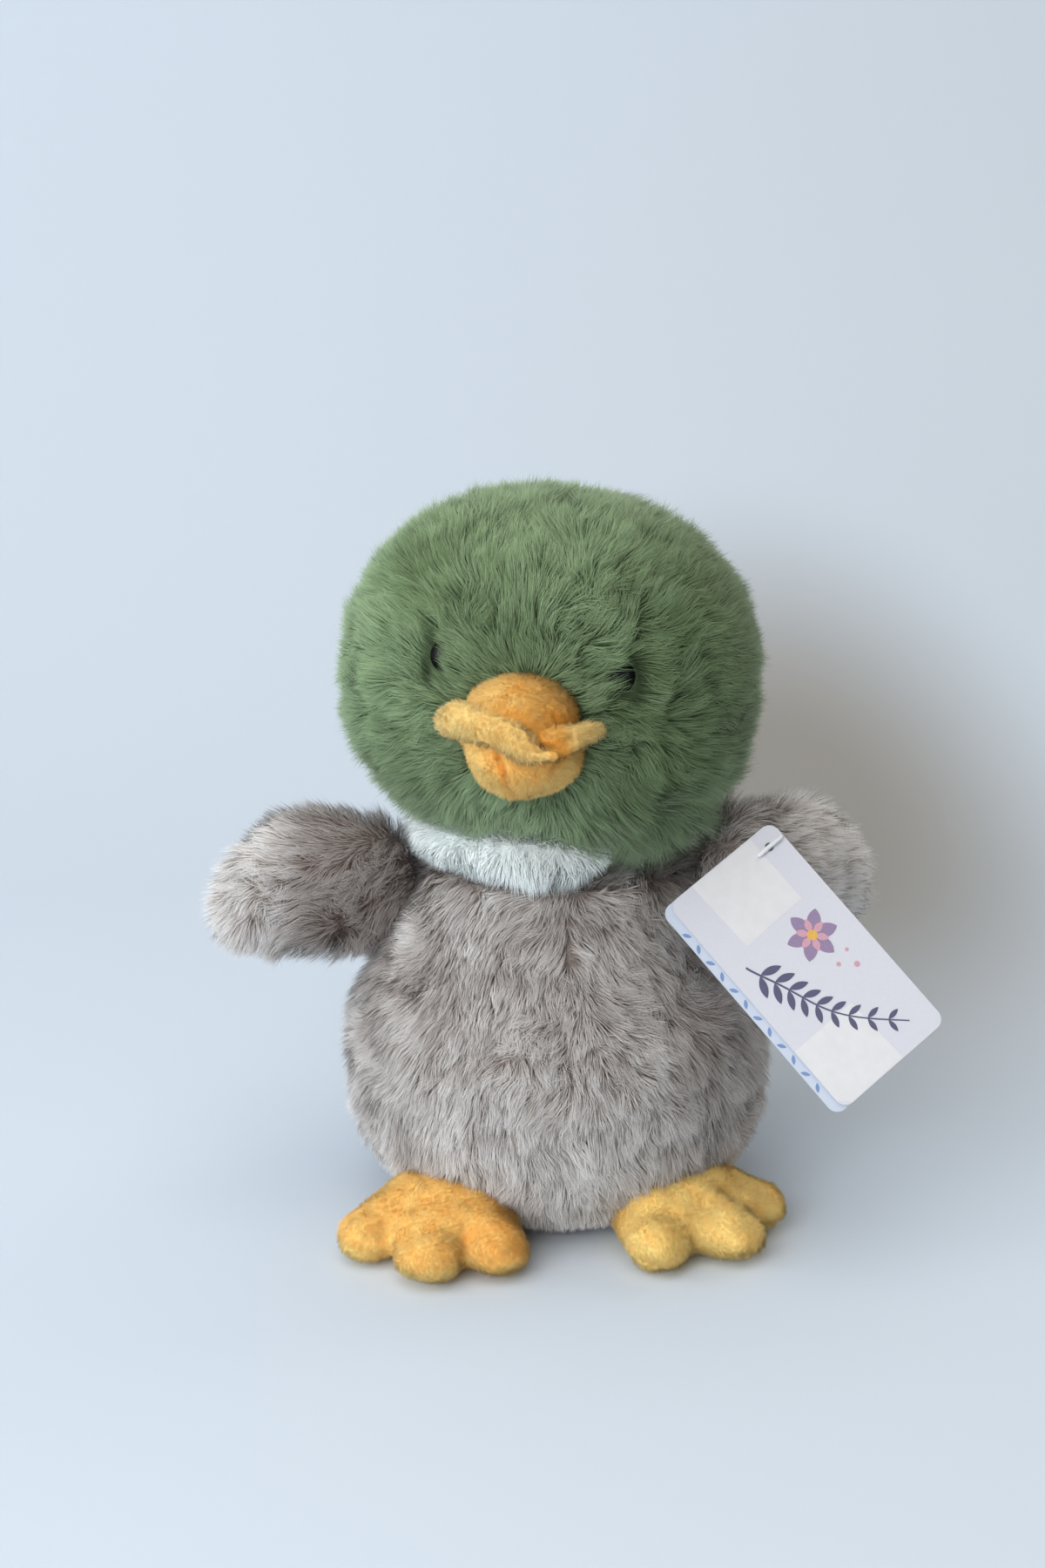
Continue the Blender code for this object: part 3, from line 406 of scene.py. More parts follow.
def needles(path, side, facing, half, tone, normals):
    """Return straight three-sided needles for a short nap."""
    count = len(tone)
    turns = [WHOLE_TURN * corner / 3 for corner in range(3)]
    radials = [side * math.cos(turn) - facing * math.sin(turn) for turn in turns]
    points = [path[0] + radial * half[:, None] for radial in radials] + [path[1]]
    shading = [unit(normals * 0.8 + radial * 0.2) for radial in radials] + [normals]
    starts = (np.arange(count) * 4)[:, None]
    tris = np.concatenate([starts + np.array([[a, b, 3]]) for a, b in ((0, 1), (1, 2), (2, 0))])
    return {
        "points": np.stack(points, 1).reshape(-1, 3), "quads": np.zeros((0, 4), int), "tris": tris,
        "places": np.stack([np.repeat(tone, 4), np.tile([NAP_ALONG] * 3 + [1.0], count)], -1),
        "normals": np.stack(shading, 1).reshape(-1, 3),
    }


def build_mesh(name, points, tris, quads, places, normals):
    """Return a mesh from arrays, with its UV map and its shading normals."""
    mesh = bpy.data.meshes.new(name)
    loops = np.concatenate([tris.ravel(), quads.ravel()]).astype(np.int32)
    starts = np.concatenate([np.arange(len(tris)) * 3, len(tris) * 3 + np.arange(len(quads)) * 4]).astype(np.int32)
    mesh.vertices.add(len(points))
    mesh.vertices.foreach_set("co", points.astype(np.float32).ravel())
    mesh.loops.add(len(loops))
    mesh.loops.foreach_set("vertex_index", loops)
    mesh.polygons.add(len(starts))
    mesh.polygons.foreach_set("loop_start", starts)
    mesh.update(calc_edges=True)
    layer = mesh.uv_layers.new(name=UV_LAYER)
    layer.data.foreach_set("uv", places[loops].astype(np.float32).ravel())
    mesh.shade_smooth()
    mesh.normals_split_custom_set_from_vertices(normals.astype(np.float32))
    return mesh


def fibre_lies(roots, normals, settings, rng):
    """Return the way each fibre leans: its comb's, with swirls, tufts and strays."""
    combs = settings["comb"](roots, normals)
    combs = combs + waves(roots, settings["swirl_length"], settings["seed"] + 1) * settings["swirl"]
    combs = combs + waves(roots, TUFT_LENGTH, settings["seed"] + 2) * settings["wild"]
    combs = combs + rng.normal(0, STRAY_COMB, combs.shape)
    return along_surface(combs, normals)


def pile_piece(name, cloth, finish, settings, body, nodes, matrix=None):
    """Make one pile piece: its cloth and its fibres, which stand for CAD nodes."""
    settings = {**PILE_DEFAULTS, **settings}
    quick = 1.0
    density = settings["density"] * quick
    seed = settings["seed"]
    roots, normals, tones = sample(cloth, density, seed)
    weight = settings["keep"](roots, normals) if "keep" in settings else np.ones(len(roots))
    rng = np.random.default_rng(seed + 500)
    kept = rng.uniform(size=len(roots)) < weight
    roots, normals, tones = roots[kept], normals[kept], tones[kept]
    combs = fibre_lies(roots, normals, settings, rng)
    length = settings["length"]
    lengths = length(roots) if callable(length) else np.full(len(roots), length)
    lengths = lengths * rng.uniform(*LENGTH_RANGE, len(roots)) * (1 + 0.10 * noise(roots, 0.012, seed + 3))
    width = settings["width"] / math.sqrt(quick)
    fibres = grow(roots, normals, combs, lengths, settings["leans"], settings, width, density * 1e4)
    base = len(cloth["points"])
    each = len(fibres["places"]) // len(roots)
    points = np.concatenate([cloth["points"], fibres["points"]])
    tone = np.concatenate([noise(cloth["points"], TUFT_LENGTH, seed + 5) * 0.05, fibres["places"][:, 0]])
    if "tone" in cloth:
        tone += np.concatenate([cloth["tone"], np.repeat(tones, each)])
    if "tone" in settings:
        tone += settings["tone"](points)
    along = np.concatenate([np.full(base, settings["cloth_along"]), fibres["places"][:, 1]])
    places = np.clip(np.stack([0.5 + tone, along], 1), 0.01, 0.99)
    tris = np.concatenate([cloth["faces"], fibres["tris"] + base])
    quads = fibres["quads"] + base
    shading = np.concatenate([cloth["normals"], fibres["normals"]])
    used = np.unique(np.concatenate([tris.ravel(), quads.ravel()]))
    renumber = np.zeros(len(points), int)
    renumber[used] = np.arange(len(used))
    mesh = build_mesh(name, points[used], renumber[tris], renumber[quads], places[used], shading[used])
    mesh.materials.append(finish)
    piece = add_object(name, mesh, matrix)
    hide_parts(*nodes)
    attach(piece, body)
    print("pile", name, len(roots), "fibres", len(mesh.polygons), "faces")


# Materials

NAP_GRAIN_SCALE = 1600.0
NAP_GRAIN_HEIGHT = 0.0003


def add_node(tree, kind, values=None, feeds=None, **settings):
    """Return a new shader node with its settings, its inputs' values and the sockets that feed it."""
    made = tree.nodes.new(f"ShaderNode{kind}")
    for name, setting in settings.items():
        setattr(made, name, setting)
    for name, value in (values or {}).items():
        made.inputs[name].default_value = value
    for name, socket in (feeds or {}).items():
        tree.links.new(socket, made.inputs[name])
    return made


def add_ramp(tree, source, stops, interpolation="LINEAR"):
    """Return the colour socket of a ramp through (place, colour) stops, fed by a socket."""
    made = add_node(tree, "ValToRGB", feeds={"Fac": source})
    made.color_ramp.interpolation = interpolation
    elements = made.color_ramp.elements
    for element, (place, colour) in zip(elements, (stops[0], stops[-1])):
        element.position, element.color = place, colour
    for place, colour in stops[1:-1]:
        elements.new(place).color = colour
    return made.outputs["Color"]


def add_bump(tree, shader, height, strength, distance_up):
    """Give a shader fine relief from a height socket."""
    bump = add_node(tree, "Bump", {"Strength": strength, "Distance": distance_up}, {"Height": height})
    tree.links.new(bump.outputs["Normal"], shader.inputs["Normal"])


def new_material(name, values):
    """Return a new node material, its tree and its Principled shader with its inputs' values."""
    made = bpy.data.materials.new(name)
    made.use_nodes = True
    shader = made.node_tree.nodes["Principled BSDF"]
    for socket, value in values.items():
        shader.inputs[socket].default_value = value
    return made, made.node_tree, shader


def pile_material(name, dark, light, roughness=0.8, sheen=0.25, specular=0.25, grain=0.0):
    """Return a pile's material: two ramps from root to tip, mixed by tone."""
    made, tree, shader = new_material(name, {
        "Roughness": roughness, "Sheen Weight": sheen, "Sheen Roughness": 0.5, "Specular IOR Level": specular,
    })
    source = add_node(tree, "UVMap", uv_map=UV_LAYER)
    split = add_node(tree, "SeparateXYZ", feeds={"Vector": source.outputs["UV"]})
    tone = add_node(tree, "MapRange", {"From Min": 0.1, "From Max": 0.9}, {"Value": split.outputs["X"]})
    mix = add_node(tree, "Mix", data_type="RGBA")
    factor = next(s for s in mix.inputs if s.name == "Factor" and s.type == "VALUE" and s.enabled)
    tree.links.new(tone.outputs["Result"], factor)
    colours = [socket for socket in mix.inputs if socket.type == "RGBA"]
    for stops, socket in zip((dark, light), colours):
        stops = [(place, srgb(*level)) for place, level in stops]
        tree.links.new(add_ramp(tree, split.outputs["Y"], stops), socket)
    result = next(socket for socket in mix.outputs if socket.type == "RGBA")
    tree.links.new(result, shader.inputs["Base Color"])
    if grain:
        place = add_node(tree, "TexCoord")
        speckle = add_node(
            tree, "TexNoise", {"Scale": NAP_GRAIN_SCALE, "Detail": 2.0}, {"Vector": place.outputs["Object"]},
        )
        add_bump(tree, shader, speckle.outputs["Fac"], grain, NAP_GRAIN_HEIGHT)
    return made


def add_noise_colour(tree, shader, low, high, scale):
    """Give a shader a fine mottle between two colours."""
    place = add_node(tree, "TexCoord")
    speckle = add_node(tree, "TexNoise", {"Scale": scale, "Detail": 3.0}, {"Vector": place.outputs["Object"]})
    colour = add_ramp(tree, speckle.outputs["Fac"], ((0.35, low), (0.65, high)))
    tree.links.new(colour, shader.inputs["Base Color"])


def mottled_material(name, low, high, scale, values):
    """Return a material with a fine mottle between two sRGB colours."""
    made, tree, shader = new_material(name, values)
    add_noise_colour(tree, shader, srgb(*low), srgb(*high), scale)
    return made


def weave_material(name, low, high, across, roughness, sheen):
    """Return a woven cloth's material: fine ribs in two directions."""
    made, tree, shader = new_material(name, {"Roughness": roughness, "Sheen Weight": sheen})
    place = add_node(tree, "TexCoord")
    ribs = [
        add_node(
            tree, "TexWave", {"Scale": across, "Distortion": 0.6, "Detail": 2.0},
            {"Vector": place.outputs["Object"]}, bands_direction=direction,
        ).outputs["Fac"]
        for direction in ("X", "Y")
    ]
    weave = add_node(tree, "Math", feeds=dict(enumerate(ribs)), operation="MULTIPLY")
    colour = add_ramp(tree, weave.outputs["Value"], ((0.0, srgb(*low)), (1.0, srgb(*high))))
    tree.links.new(colour, shader.inputs["Base Color"])
    add_bump(tree, shader, weave.outputs["Value"], 0.4, 0.0002)
    return made


NAP_LOOK = {"roughness": 0.95, "sheen": 0.05, "specular": 0.1, "grain": 0.22}
GREEN = pile_material(
    "green_pile_fibres",
    ((0.0, (48, 58, 36)), (0.35, (72, 89, 57)), (1.0, (106, 130, 87))),
    ((0.0, (72, 91, 61)), (0.35, (112, 138, 98)), (1.0, (174, 198, 156))),
)
GREY = pile_material(
    "grey_pile_fibres",
    ((0.0, (98, 80, 71)), (0.4, (136, 123, 115)), (1.0, (180, 174, 171))),
    ((0.0, (172, 158, 148)), (0.4, (216, 210, 205)), (1.0, (248, 247, 246))),
)
WHITE = pile_material(
    "white_pile_fibres",
    ((0.0, (240, 247, 246)), (1.0, (246, 253, 252))),
    ((0.0, (246, 253, 252)), (1.0, (249, 255, 255))),
)
ORANGE = pile_material(
    "orange_minky_nap",
    ((0.0, (204, 124, 36)), (0.4, (216, 144, 52)), (1.0, (226, 164, 76))),
    ((0.0, (230, 204, 116)), (0.4, (234, 214, 134)), (1.0, (238, 226, 164))),
    **NAP_LOOK,
)
# A lighter copy of the orange nap: painted light for the feet and the lower bill, which lie in shade.
ORANGE_WITH_PAINTED_LIGHT = pile_material(
    "orange_minky_nap_with_painted_light",
    ((0.0, (236, 140, 42)), (0.4, (244, 156, 56)), (1.0, (249, 170, 72))),
    ((0.0, (246, 214, 118)), (0.4, (249, 223, 134)), (1.0, (250, 232, 158))),
    **NAP_LOOK,
)


# Body

def super_share(values, power):
    """Return the radius share at height shares on a super-ellipse."""
    return np.maximum(0.0, 1.0 - np.abs(values) ** power) ** (1.0 / power)


def body_radius_share(heights):
    """Return how wide the body is at heights, as shares of its widest."""
    below = super_share((BODY_WIDEST_HEIGHT - heights) / BODY_BELLY_DROP, BODY_ROUNDNESS_SHARE)
    swell = (1.0 + np.cos(np.pi * np.clip((heights - BODY_WIDEST_HEIGHT) / BODY_PEAR_LENGTH, 0, 1))) / 2
    above = BODY_NECK_SHARE + (1.0 - BODY_NECK_SHARE) * swell
    return np.where(heights <= BODY_WIDEST_HEIGHT, below, above)


BODY_TOP_RISE = 0.004
CAP_RISE = 0.006
CAP_START = 0.80


def body_place(units):
    """Return the pear-shaped body's points, rounded over at the shoulders."""
    latitude = np.arcsin(np.clip(units[:, 2], -1, 1)) / QUARTER_TURN
    top = SHOULDER_HEIGHT + BODY_TOP_RISE
    climb = np.clip(latitude / CAP_START, 0, 1)
    heights = np.where(
        latitude <= 0, BODY_WIDEST_HEIGHT + units[:, 2] * BODY_BELLY_DROP,
        BODY_WIDEST_HEIGHT + climb * (top - BODY_WIDEST_HEIGHT - CAP_RISE),
    )
    cap = np.clip((latitude - CAP_START) / 0.20, 0, 1)
    heights = heights + np.sin(cap * QUARTER_TURN) * CAP_RISE
    flat = np.maximum(np.hypot(units[:, 0], units[:, 1]), 1e-9)
    share = body_radius_share(heights) * np.cos(cap * QUARTER_TURN)
    return np.stack([
        units[:, 0] / flat * share * BODY_WIDTH / 2, units[:, 1] / flat * share * BODY_DEPTH / 2, heights,
    ], -1)


def down_comb(points, normals):
    """Return the lie of the body's pile: down, and a little away from the front seam."""
    out = np.stack([points[:, 0], points[:, 1], 0 * points[:, 0]], -1)
    lie = np.array([[0.0, 0.0, -1.0]]) + unit(out) * 0.25
    beside = points[:, 0] - FRONT_SEAM_OFFSET
    lie[:, 0] += 0.35 * np.sign(beside) * np.exp(-np.abs(beside) / 0.02)
    return along_surface(lie, normals)


def body_tone_and_painted_light(points):
    """Return how much lighter the body's pile is: painted light low on the belly, painted shade at its sides and
    left.
    """
    x, _, z = points.T
    sides = 0.12 * smooth(0.022, 0.050, np.abs(x)) + 0.12 * smooth(0.010, 0.045, x)
    return noise(points, 0.016, 90) * 0.07 + 0.20 * smooth(0.065, 0.015, z) - 0.02 - sides


PILE_LENGTH = 0.0080
PILE_WIDTH = 0.00016
PILE_DENSITY = 600
PILE_LEANS = (0.45, 1.15)
PILE_CLUMPS = ((0.0011, 0.1, 0.5, 1.2, 0.05), (0.0034, 0.0, 0.35, 1.5, 0.06))
BASE_TOP = 0.0052
GROUND_GAP = 0.0003
CLOTH_GROUND_GAP = 0.0005
COLLAR_COVER_RADIUS = 0.022
WING_COVER_RADIUS = 0.006


def from_neck(points):
    """Return how far points are from the neck's upright axis."""
    return np.hypot(points[:, 0] - NECK.x, points[:, 1] - NECK.y)


def build_body():
    """Make the body's pile panels and its base."""
    outer = surface(body_place, 120, 84)
    outer["points"][:, 2] = np.maximum(outer["points"][:, 2], GROUND_GAP)
    outer["normals"] = vertex_normals(outer["points"], outer["faces"])
    depth = 0.0015 + 0.0038 * smooth(0.0, 0.016, outer["points"][:, 2:])
    cloth = sunk(outer, depth)
    cloth["points"][:, 2] = np.maximum(cloth["points"][:, 2], CLOTH_GROUND_GAP)
    cloth["normals"] = vertex_normals(cloth["points"], cloth["faces"])

    def keep(roots, normals):
        """Leave out what the collar and the wings' roots cover, and what presses on the ground."""
        weight = np.ones(len(roots))
        weight[(from_neck(roots) < COLLAR_COVER_RADIUS) & (roots[:, 2] > 0.09)] = 0
        for axis in WING_AXES.values():
            weight[np.hypot(roots[:, 0] - axis.x, roots[:, 2] - axis.z) < WING_COVER_RADIUS] = 0
        weight[normals[:, 2] < -0.97] = 0
        return weight

    def length(roots):
        """Return the pile's length: shorter where it meets the ground."""
        return PILE_LENGTH * (0.45 + 0.55 * smooth(0.003, 0.022, roots[:, 2]))

    settings = {
        "density": PILE_DENSITY, "comb": down_comb, "length": length, "leans": PILE_LEANS, "keep": keep,
        "clumps": PILE_CLUMPS, "width": PILE_WIDTH, "levels": 2, "swirl": 0.44, "wild": 0.30, "floor": 0.0004,
        "tone": body_tone_and_painted_light,
    }

    def above(centres):
        """Return which centres are above the base."""
        return centres[:, 2] > BASE_TOP

    def ahead(centres):
        """Return which centres are in front of the side seams."""
        return above(centres) & (centres[:, 1] < SIDE_SEAM_OFFSET)

    panels = {
        "body_front_left": (lambda c: ahead(c) & (c[:, 0] > FRONT_SEAM_OFFSET), {}),
        "body_front_right": (lambda c: ahead(c) & (c[:, 0] <= FRONT_SEAM_OFFSET), {}),
        "body_back": (lambda c: above(c) & (c[:, 1] >= SIDE_SEAM_OFFSET), {"density": 400, "width": 0.00024}),
        "body_base": (lambda c: ~above(c), {"density": 300, "length": 0.0045}),
    }
    for index, (node, (chosen, extra)) in enumerate(panels.items()):
        pile_piece(
            f"pile_{node}", part_of(cloth, chosen), GREY, {**settings, "seed": 100 + 20 * index, **extra},
            "body", [node],
        )


# Collar

COLLAR_RING = COLLAR_RADIUS - COLLAR_PILE
COLLAR_GRID = (96, 16)


def collar_form():
    """Return the collar's cloth: a ring about the neck, drawn in beside the left wing."""
    around, rings = COLLAR_GRID
    turns = (np.arange(count) * 2 * math.pi / count for count in COLLAR_GRID)
    lon, lat = (values.ravel() for values in np.meshgrid(*turns, indexing="ij"))
    tucked = smooth(0.35, 0.90, np.cos(lon))
    radius = COLLAR_RING - 0.0015 + 0.0048 * np.cos(lat) - 0.0060 * tucked
    height = COLLAR_MIDDLE + 0.0014 + 0.0010 * tucked + (0.0040 - 0.0012 * tucked) * np.sin(lat)
    points = np.stack([NECK.x + radius * np.cos(lon), NECK.y + radius * np.sin(lon), height], -1)
    i, j = np.arange(around)[:, None], np.arange(rings)[None, :]
    a, b, c, d = (
        ((i + ahead) % around * rings + (j + up) % rings).ravel() for ahead, up in ((0, 0), (1, 0), (1, 1), (0, 1))
    )
    faces = np.concatenate([np.stack([a, b, c], -1), np.stack([a, c, d], -1)])
    normals = vertex_normals(points, faces)
    middle = np.stack([
        NECK.x + COLLAR_RING * np.cos(lon), NECK.y + COLLAR_RING * np.sin(lon), np.full(len(lon), COLLAR_MIDDLE),
    ], -1)
    if np.sum(normals * (points - middle)) < 0:
        faces, normals = faces[:, ::-1], -normals
    return {"points": points, "faces": faces, "normals": normals}


def build_collar():
    """Make the white collar's pile, standing out and down over the shoulders."""

    def comb(roots, normals):
        """Return the lie: outwards and down."""
        out = np.stack([roots[:, 0] - NECK.x, roots[:, 1] - NECK.y, 0 * roots[:, 0]], -1)
        return along_surface(unit(out) + np.array([[0, 0, -0.8]]), normals)

    def keep(roots, normals):
        """Leave out the inner side."""
        return (from_neck(roots) - COLLAR_RING > -0.007).astype(float)

    def length(roots):
        """Return the pile's length: longest in front, where it comes to a point, and short by the left wing."""
        way = unit(roots[:, :2] - np.array([NECK.x, NECK.y]))
        front = way @ np.array([0.10, -0.99])
        return (0.0060 + 0.0030 * smooth(0.80, 1.0, front)) * (1 - 0.65 * smooth(0.30, 0.75, way[:, 0]))

    pile_piece("pile_collar", collar_form(), WHITE, {
        "density": 620, "comb": comb, "keep": keep, "length": length, "leans": PILE_LEANS, "facing": 0.0,
        "clumps": ((0.0010, 0.1, 0.4, 1.3, 0.05), (0.0034, 0.0, 0.20, 1.5, 0.05)),
        "width": 0.00018, "levels": 2, "swirl": 0.28, "wild": 0.18, "seed": 300,
    }, "body", ["collar"])


# Head

def head_place(units):
    """Return the head's outer surface in the head's frame."""
    power = HEAD_ROUNDNESS_SHARE
    reach = (np.abs(units) ** power).sum(-1) ** (-1.0 / power)
    spread = 1.0 - CHEEK_SHARE * units[:, 2]
    return np.stack([
        units[:, 0] * reach * spread * HEAD_SIZE[0] / 2,
        units[:, 1] * reach * HEAD_SIZE[1] / 2,
        units[:, 2] * reach * HEAD_SIZE[2] / 2 + HEAD_RISE,
    ], -1)


EYE_SINK = 0.006


def eye_line(side):
    """Return an eye's outward direction and its place on the head's outer surface, in the head's frame."""
    aim = np.array([[
        side * math.sin(EYE_AZIMUTH) * math.cos(EYE_ELEVATION),
        -math.cos(EYE_AZIMUTH) * math.cos(EYE_ELEVATION),
        math.sin(EYE_ELEVATION),
    ]])
    outer = head_place(aim)[0]
    outward = unit(outer - np.array([0, 0, HEAD_RISE]))
    return outward, outer


EYE_LINES = {side: eye_line(side) for side in SIDES.values()}
EYE_PITS = {side: outer - outward * EYE_SINK for side, (outward, outer) in EYE_LINES.items()}
BILL_ROOT = np.array([0.0, -0.049, HEAD_RISE - 0.005])


def segment_distance(points, start, end):
    """Return how far points are from a line between two places, and the way from it to them."""
    line = end - start
    share = np.clip(((points - start) @ line) / (line @ line), 0, 1)
    away = points - (start + share[:, None] * line)
    return np.linalg.norm(away, axis=-1), away


def head_comb(roots, normals):
    """Return the lie of the head's pile: out from the bill, down at the back, parted at the eyes."""
    lie = along_surface(unit(roots - BILL_ROOT), normals)
    back = smooth(0.0, 0.035, roots[:, 1])[:, None]
    lie = lie * (1 - back) + along_surface(np.tile([[0.0, 0.35, -1.0]], (len(roots), 1)), normals) * back
    for side, pit in EYE_PITS.items():
        corner = np.array([side * 0.0175, -0.0475, HEAD_RISE - 0.002])
        far, away = segment_distance(roots, pit, corner)
        beyond = 1 - bell(distance(roots, pit), 0.008)
        pull = (bell(far, 0.0050) * beyond)[:, None]
        lie = lie + along_surface(away, normals) * pull
    return along_surface(lie, normals)


# Patches of painted light and shade on the head's front, as middles (x, z), how far they reach and how much lighter
# they are
HEAD_PAINTED_PATCHES = (
    ((-0.032, 0.012), 0.013, -0.26), ((-0.029, 0.070), 0.014, -0.26),
    ((-0.005, 0.058), 0.012, -0.20), ((-0.006, 0.0), 0.012, 0.26),
)
# Painted shade in each eye's pocket: its size, and how much darker it is
POCKET_SIZE = np.array([0.0052, 0.0060, 0.0070])
POCKET_PAINTED_SHADE = 0.34


def head_painted_light_and_shade(points):
    """Return how much lighter the head's pile is: painted shade in the eyes' pockets and on its left side, painted
    light on top, painted patches.
    """
    x, y, z = points.T
    front = smooth(0.010, -0.010, y)
    tone = 0.04 * smooth(0.064, 0.086, z) - 0.26 * smooth(0.010, 0.040, x) * smooth(0.100, 0.078, z)
    for middle, reach, shade in HEAD_PAINTED_PATCHES:
        tone = tone + shade * bell(np.hypot(x - middle[0], z - middle[1]), reach) * front
    for side, pit in EYE_PITS.items():
        pocket = pit + np.array([-side * 0.001, 0, -0.0025])
        tone = tone - POCKET_PAINTED_SHADE * bell(np.linalg.norm((points - pocket) / POCKET_SIZE, axis=-1), 1)
    return tone


HEAD_PILE_LENGTH = 0.0094
NECK_GAP = 0.0008
BILL_COVER = (0.0135, 0.0115)
EYE_OPENING = 0.0040
# How far inwards and how far down each eye's opening lies from the eye's middle
EYE_SHIFTS = {1: (0.0002, 0.0014), -1: (0.0010, 0.0026)}
OVER_WING = (np.array([0.038, -0.005, 0.016]), np.array([0.012, 0.030, 0.010]))


def head_keep(roots, normals):
    """Leave out what the bill and the eyes cover."""
    weight = np.ones(len(roots))
    across, up = roots[:, 0] / BILL_COVER[0], (roots[:, 2] - (HEAD_RISE - 0.006)) / BILL_COVER[1]
    weight[(roots[:, 1] < 0) & (across ** 2 + up ** 2 < 1)] = 0
    for side, (outward, outer) in EYE_LINES.items():
        gap = roots - outer
        flat = gap - (gap @ outward)[:, None] * outward
        inwards, low = EYE_SHIFTS[side]
        size = np.array([EYE_OPENING, EYE_OPENING, 0.0044 + low])
        weight[np.linalg.norm((flat + np.array([side * inwards, 0, low])) / size, axis=-1) < 1] = 0
    return weight


def head_length(roots):
    """Return the head's pile length: shorter round the eyes and the bill, longer at the chin and over a wing."""
    length = HEAD_PILE_LENGTH * (1 - 0.15 * bell(distance(roots, BILL_ROOT), 0.022))
    chin = smooth(0.020, 0.006, roots[:, 2]) * smooth(0.01, -0.02, roots[:, 1])
    length *= 1 + chin * (0.20 + 0.60 * smooth(0.0, 0.020, roots[:, 0]))
    middle, size = OVER_WING
    length *= 1 + 0.45 * bell(np.linalg.norm((roots - middle) / size, axis=-1), 1)
    for side, pit in EYE_PITS.items():
        inside = smooth(0.001, -0.002, side * (roots[:, 0] - EYE_LINES[side][1][0]))
        length *= 1 + (0.30 * inside - 0.10) * bell(distance(roots, pit), 0.007)
    return length


def build_head():
    """Make the head's three pile panels."""
    outer = surface(head_place, 120, 84, poles="X")
    cloth = sunk(outer, 0.0064 + 0.0014 * smooth(0.060, 0.088, outer["points"][:, 2:]))
    chin = HEAD_RISE - 0.004

    def above_neck(centres):
        """Return which centres are above the neck's plane."""
        world = centres @ np.array(HEAD_FRAME.to_3x3()).T + np.array(HEAD_FRAME.translation)
        return world[:, 2] > NECK.z + NECK_GAP

    def in_gusset(centres):
        """Return which centres are in the middle panel."""
        return (np.abs(centres[:, 0]) < GUSSET_WIDTH / 2) & ((centres[:, 2] > chin) | (centres[:, 1] > 0))

    settings = {
        "density": PILE_DENSITY, "comb": head_comb, "length": head_length, "leans": PILE_LEANS, "keep": head_keep,
        "tone": head_painted_light_and_shade, "clumps": ((0.0011, 0.1, 0.5, 1.2, 0.05), (0.0036, 0.0, 0.35, 1.4, 0.07)),
        "width": PILE_WIDTH, "levels": 2, "swirl": 0.34, "wild": 0.34,
    }
    panels = {
        "head_side_left": lambda c: above_neck(c) & ~in_gusset(c) & (c[:, 0] > 0),
        "head_side_right": lambda c: above_neck(c) & ~in_gusset(c) & (c[:, 0] <= 0),
        "head_gusset": lambda c: above_neck(c) & in_gusset(c),
    }
    for index, (node, chosen) in enumerate(panels.items()):
        pile_piece(
            f"pile_{node}", part_of(cloth, chosen), GREEN, {**settings, "seed": 400 + 20 * index},
            "head", [node], HEAD_FRAME,
        )


# Wings

# How high each wing's top stands over its root, for the pile that reaches the head
WING_BUMPS = {1: 0.0060, -1: 0.0010}
WING_CLOTH_DEPTH = 0.0045


def wing_middle(side_name, out, offset):
    """Return points (x, y) of a wing's middle at distances out from its axis, moved back by offsets."""
    side = SIDES[side_name]
    along = np.clip(out / WING_BEND_LENGTH, 0, 1)
    angle = WING_SWEEPS[side_name] * along * along * (3.0 - 2.0 * along)
    return side * (out * np.cos(angle) - offset * np.sin(angle)), out * np.sin(angle) + offset * np.cos(angle)


def wing_place(side_name):
    """Return the map from unit directions to a wing, in its axis frame."""

    def place(units):
        """Return a wing's points."""
        fullness = super_share(units[:, 0], WING_ROUNDNESS_SHARE)
        flat = np.maximum(np.hypot(units[:, 1], units[:, 2]), 1e-9)
        out = WING_CENTRE_OUT + units[:, 0] * WING_LENGTH / 2
        height = WING_CENTRE_RISE - np.maximum(0.0, units[:, 0]) ** 2 * WING_TIP_DROP
        thickness = units[:, 1] / flat * fullness * WING_THICKNESS / 2
        height = height + units[:, 2] / flat * fullness * WING_HEIGHT / 2
        x, y = wing_middle(side_name, out, thickness)
        return np.stack([x, y, height], -1)

    return place


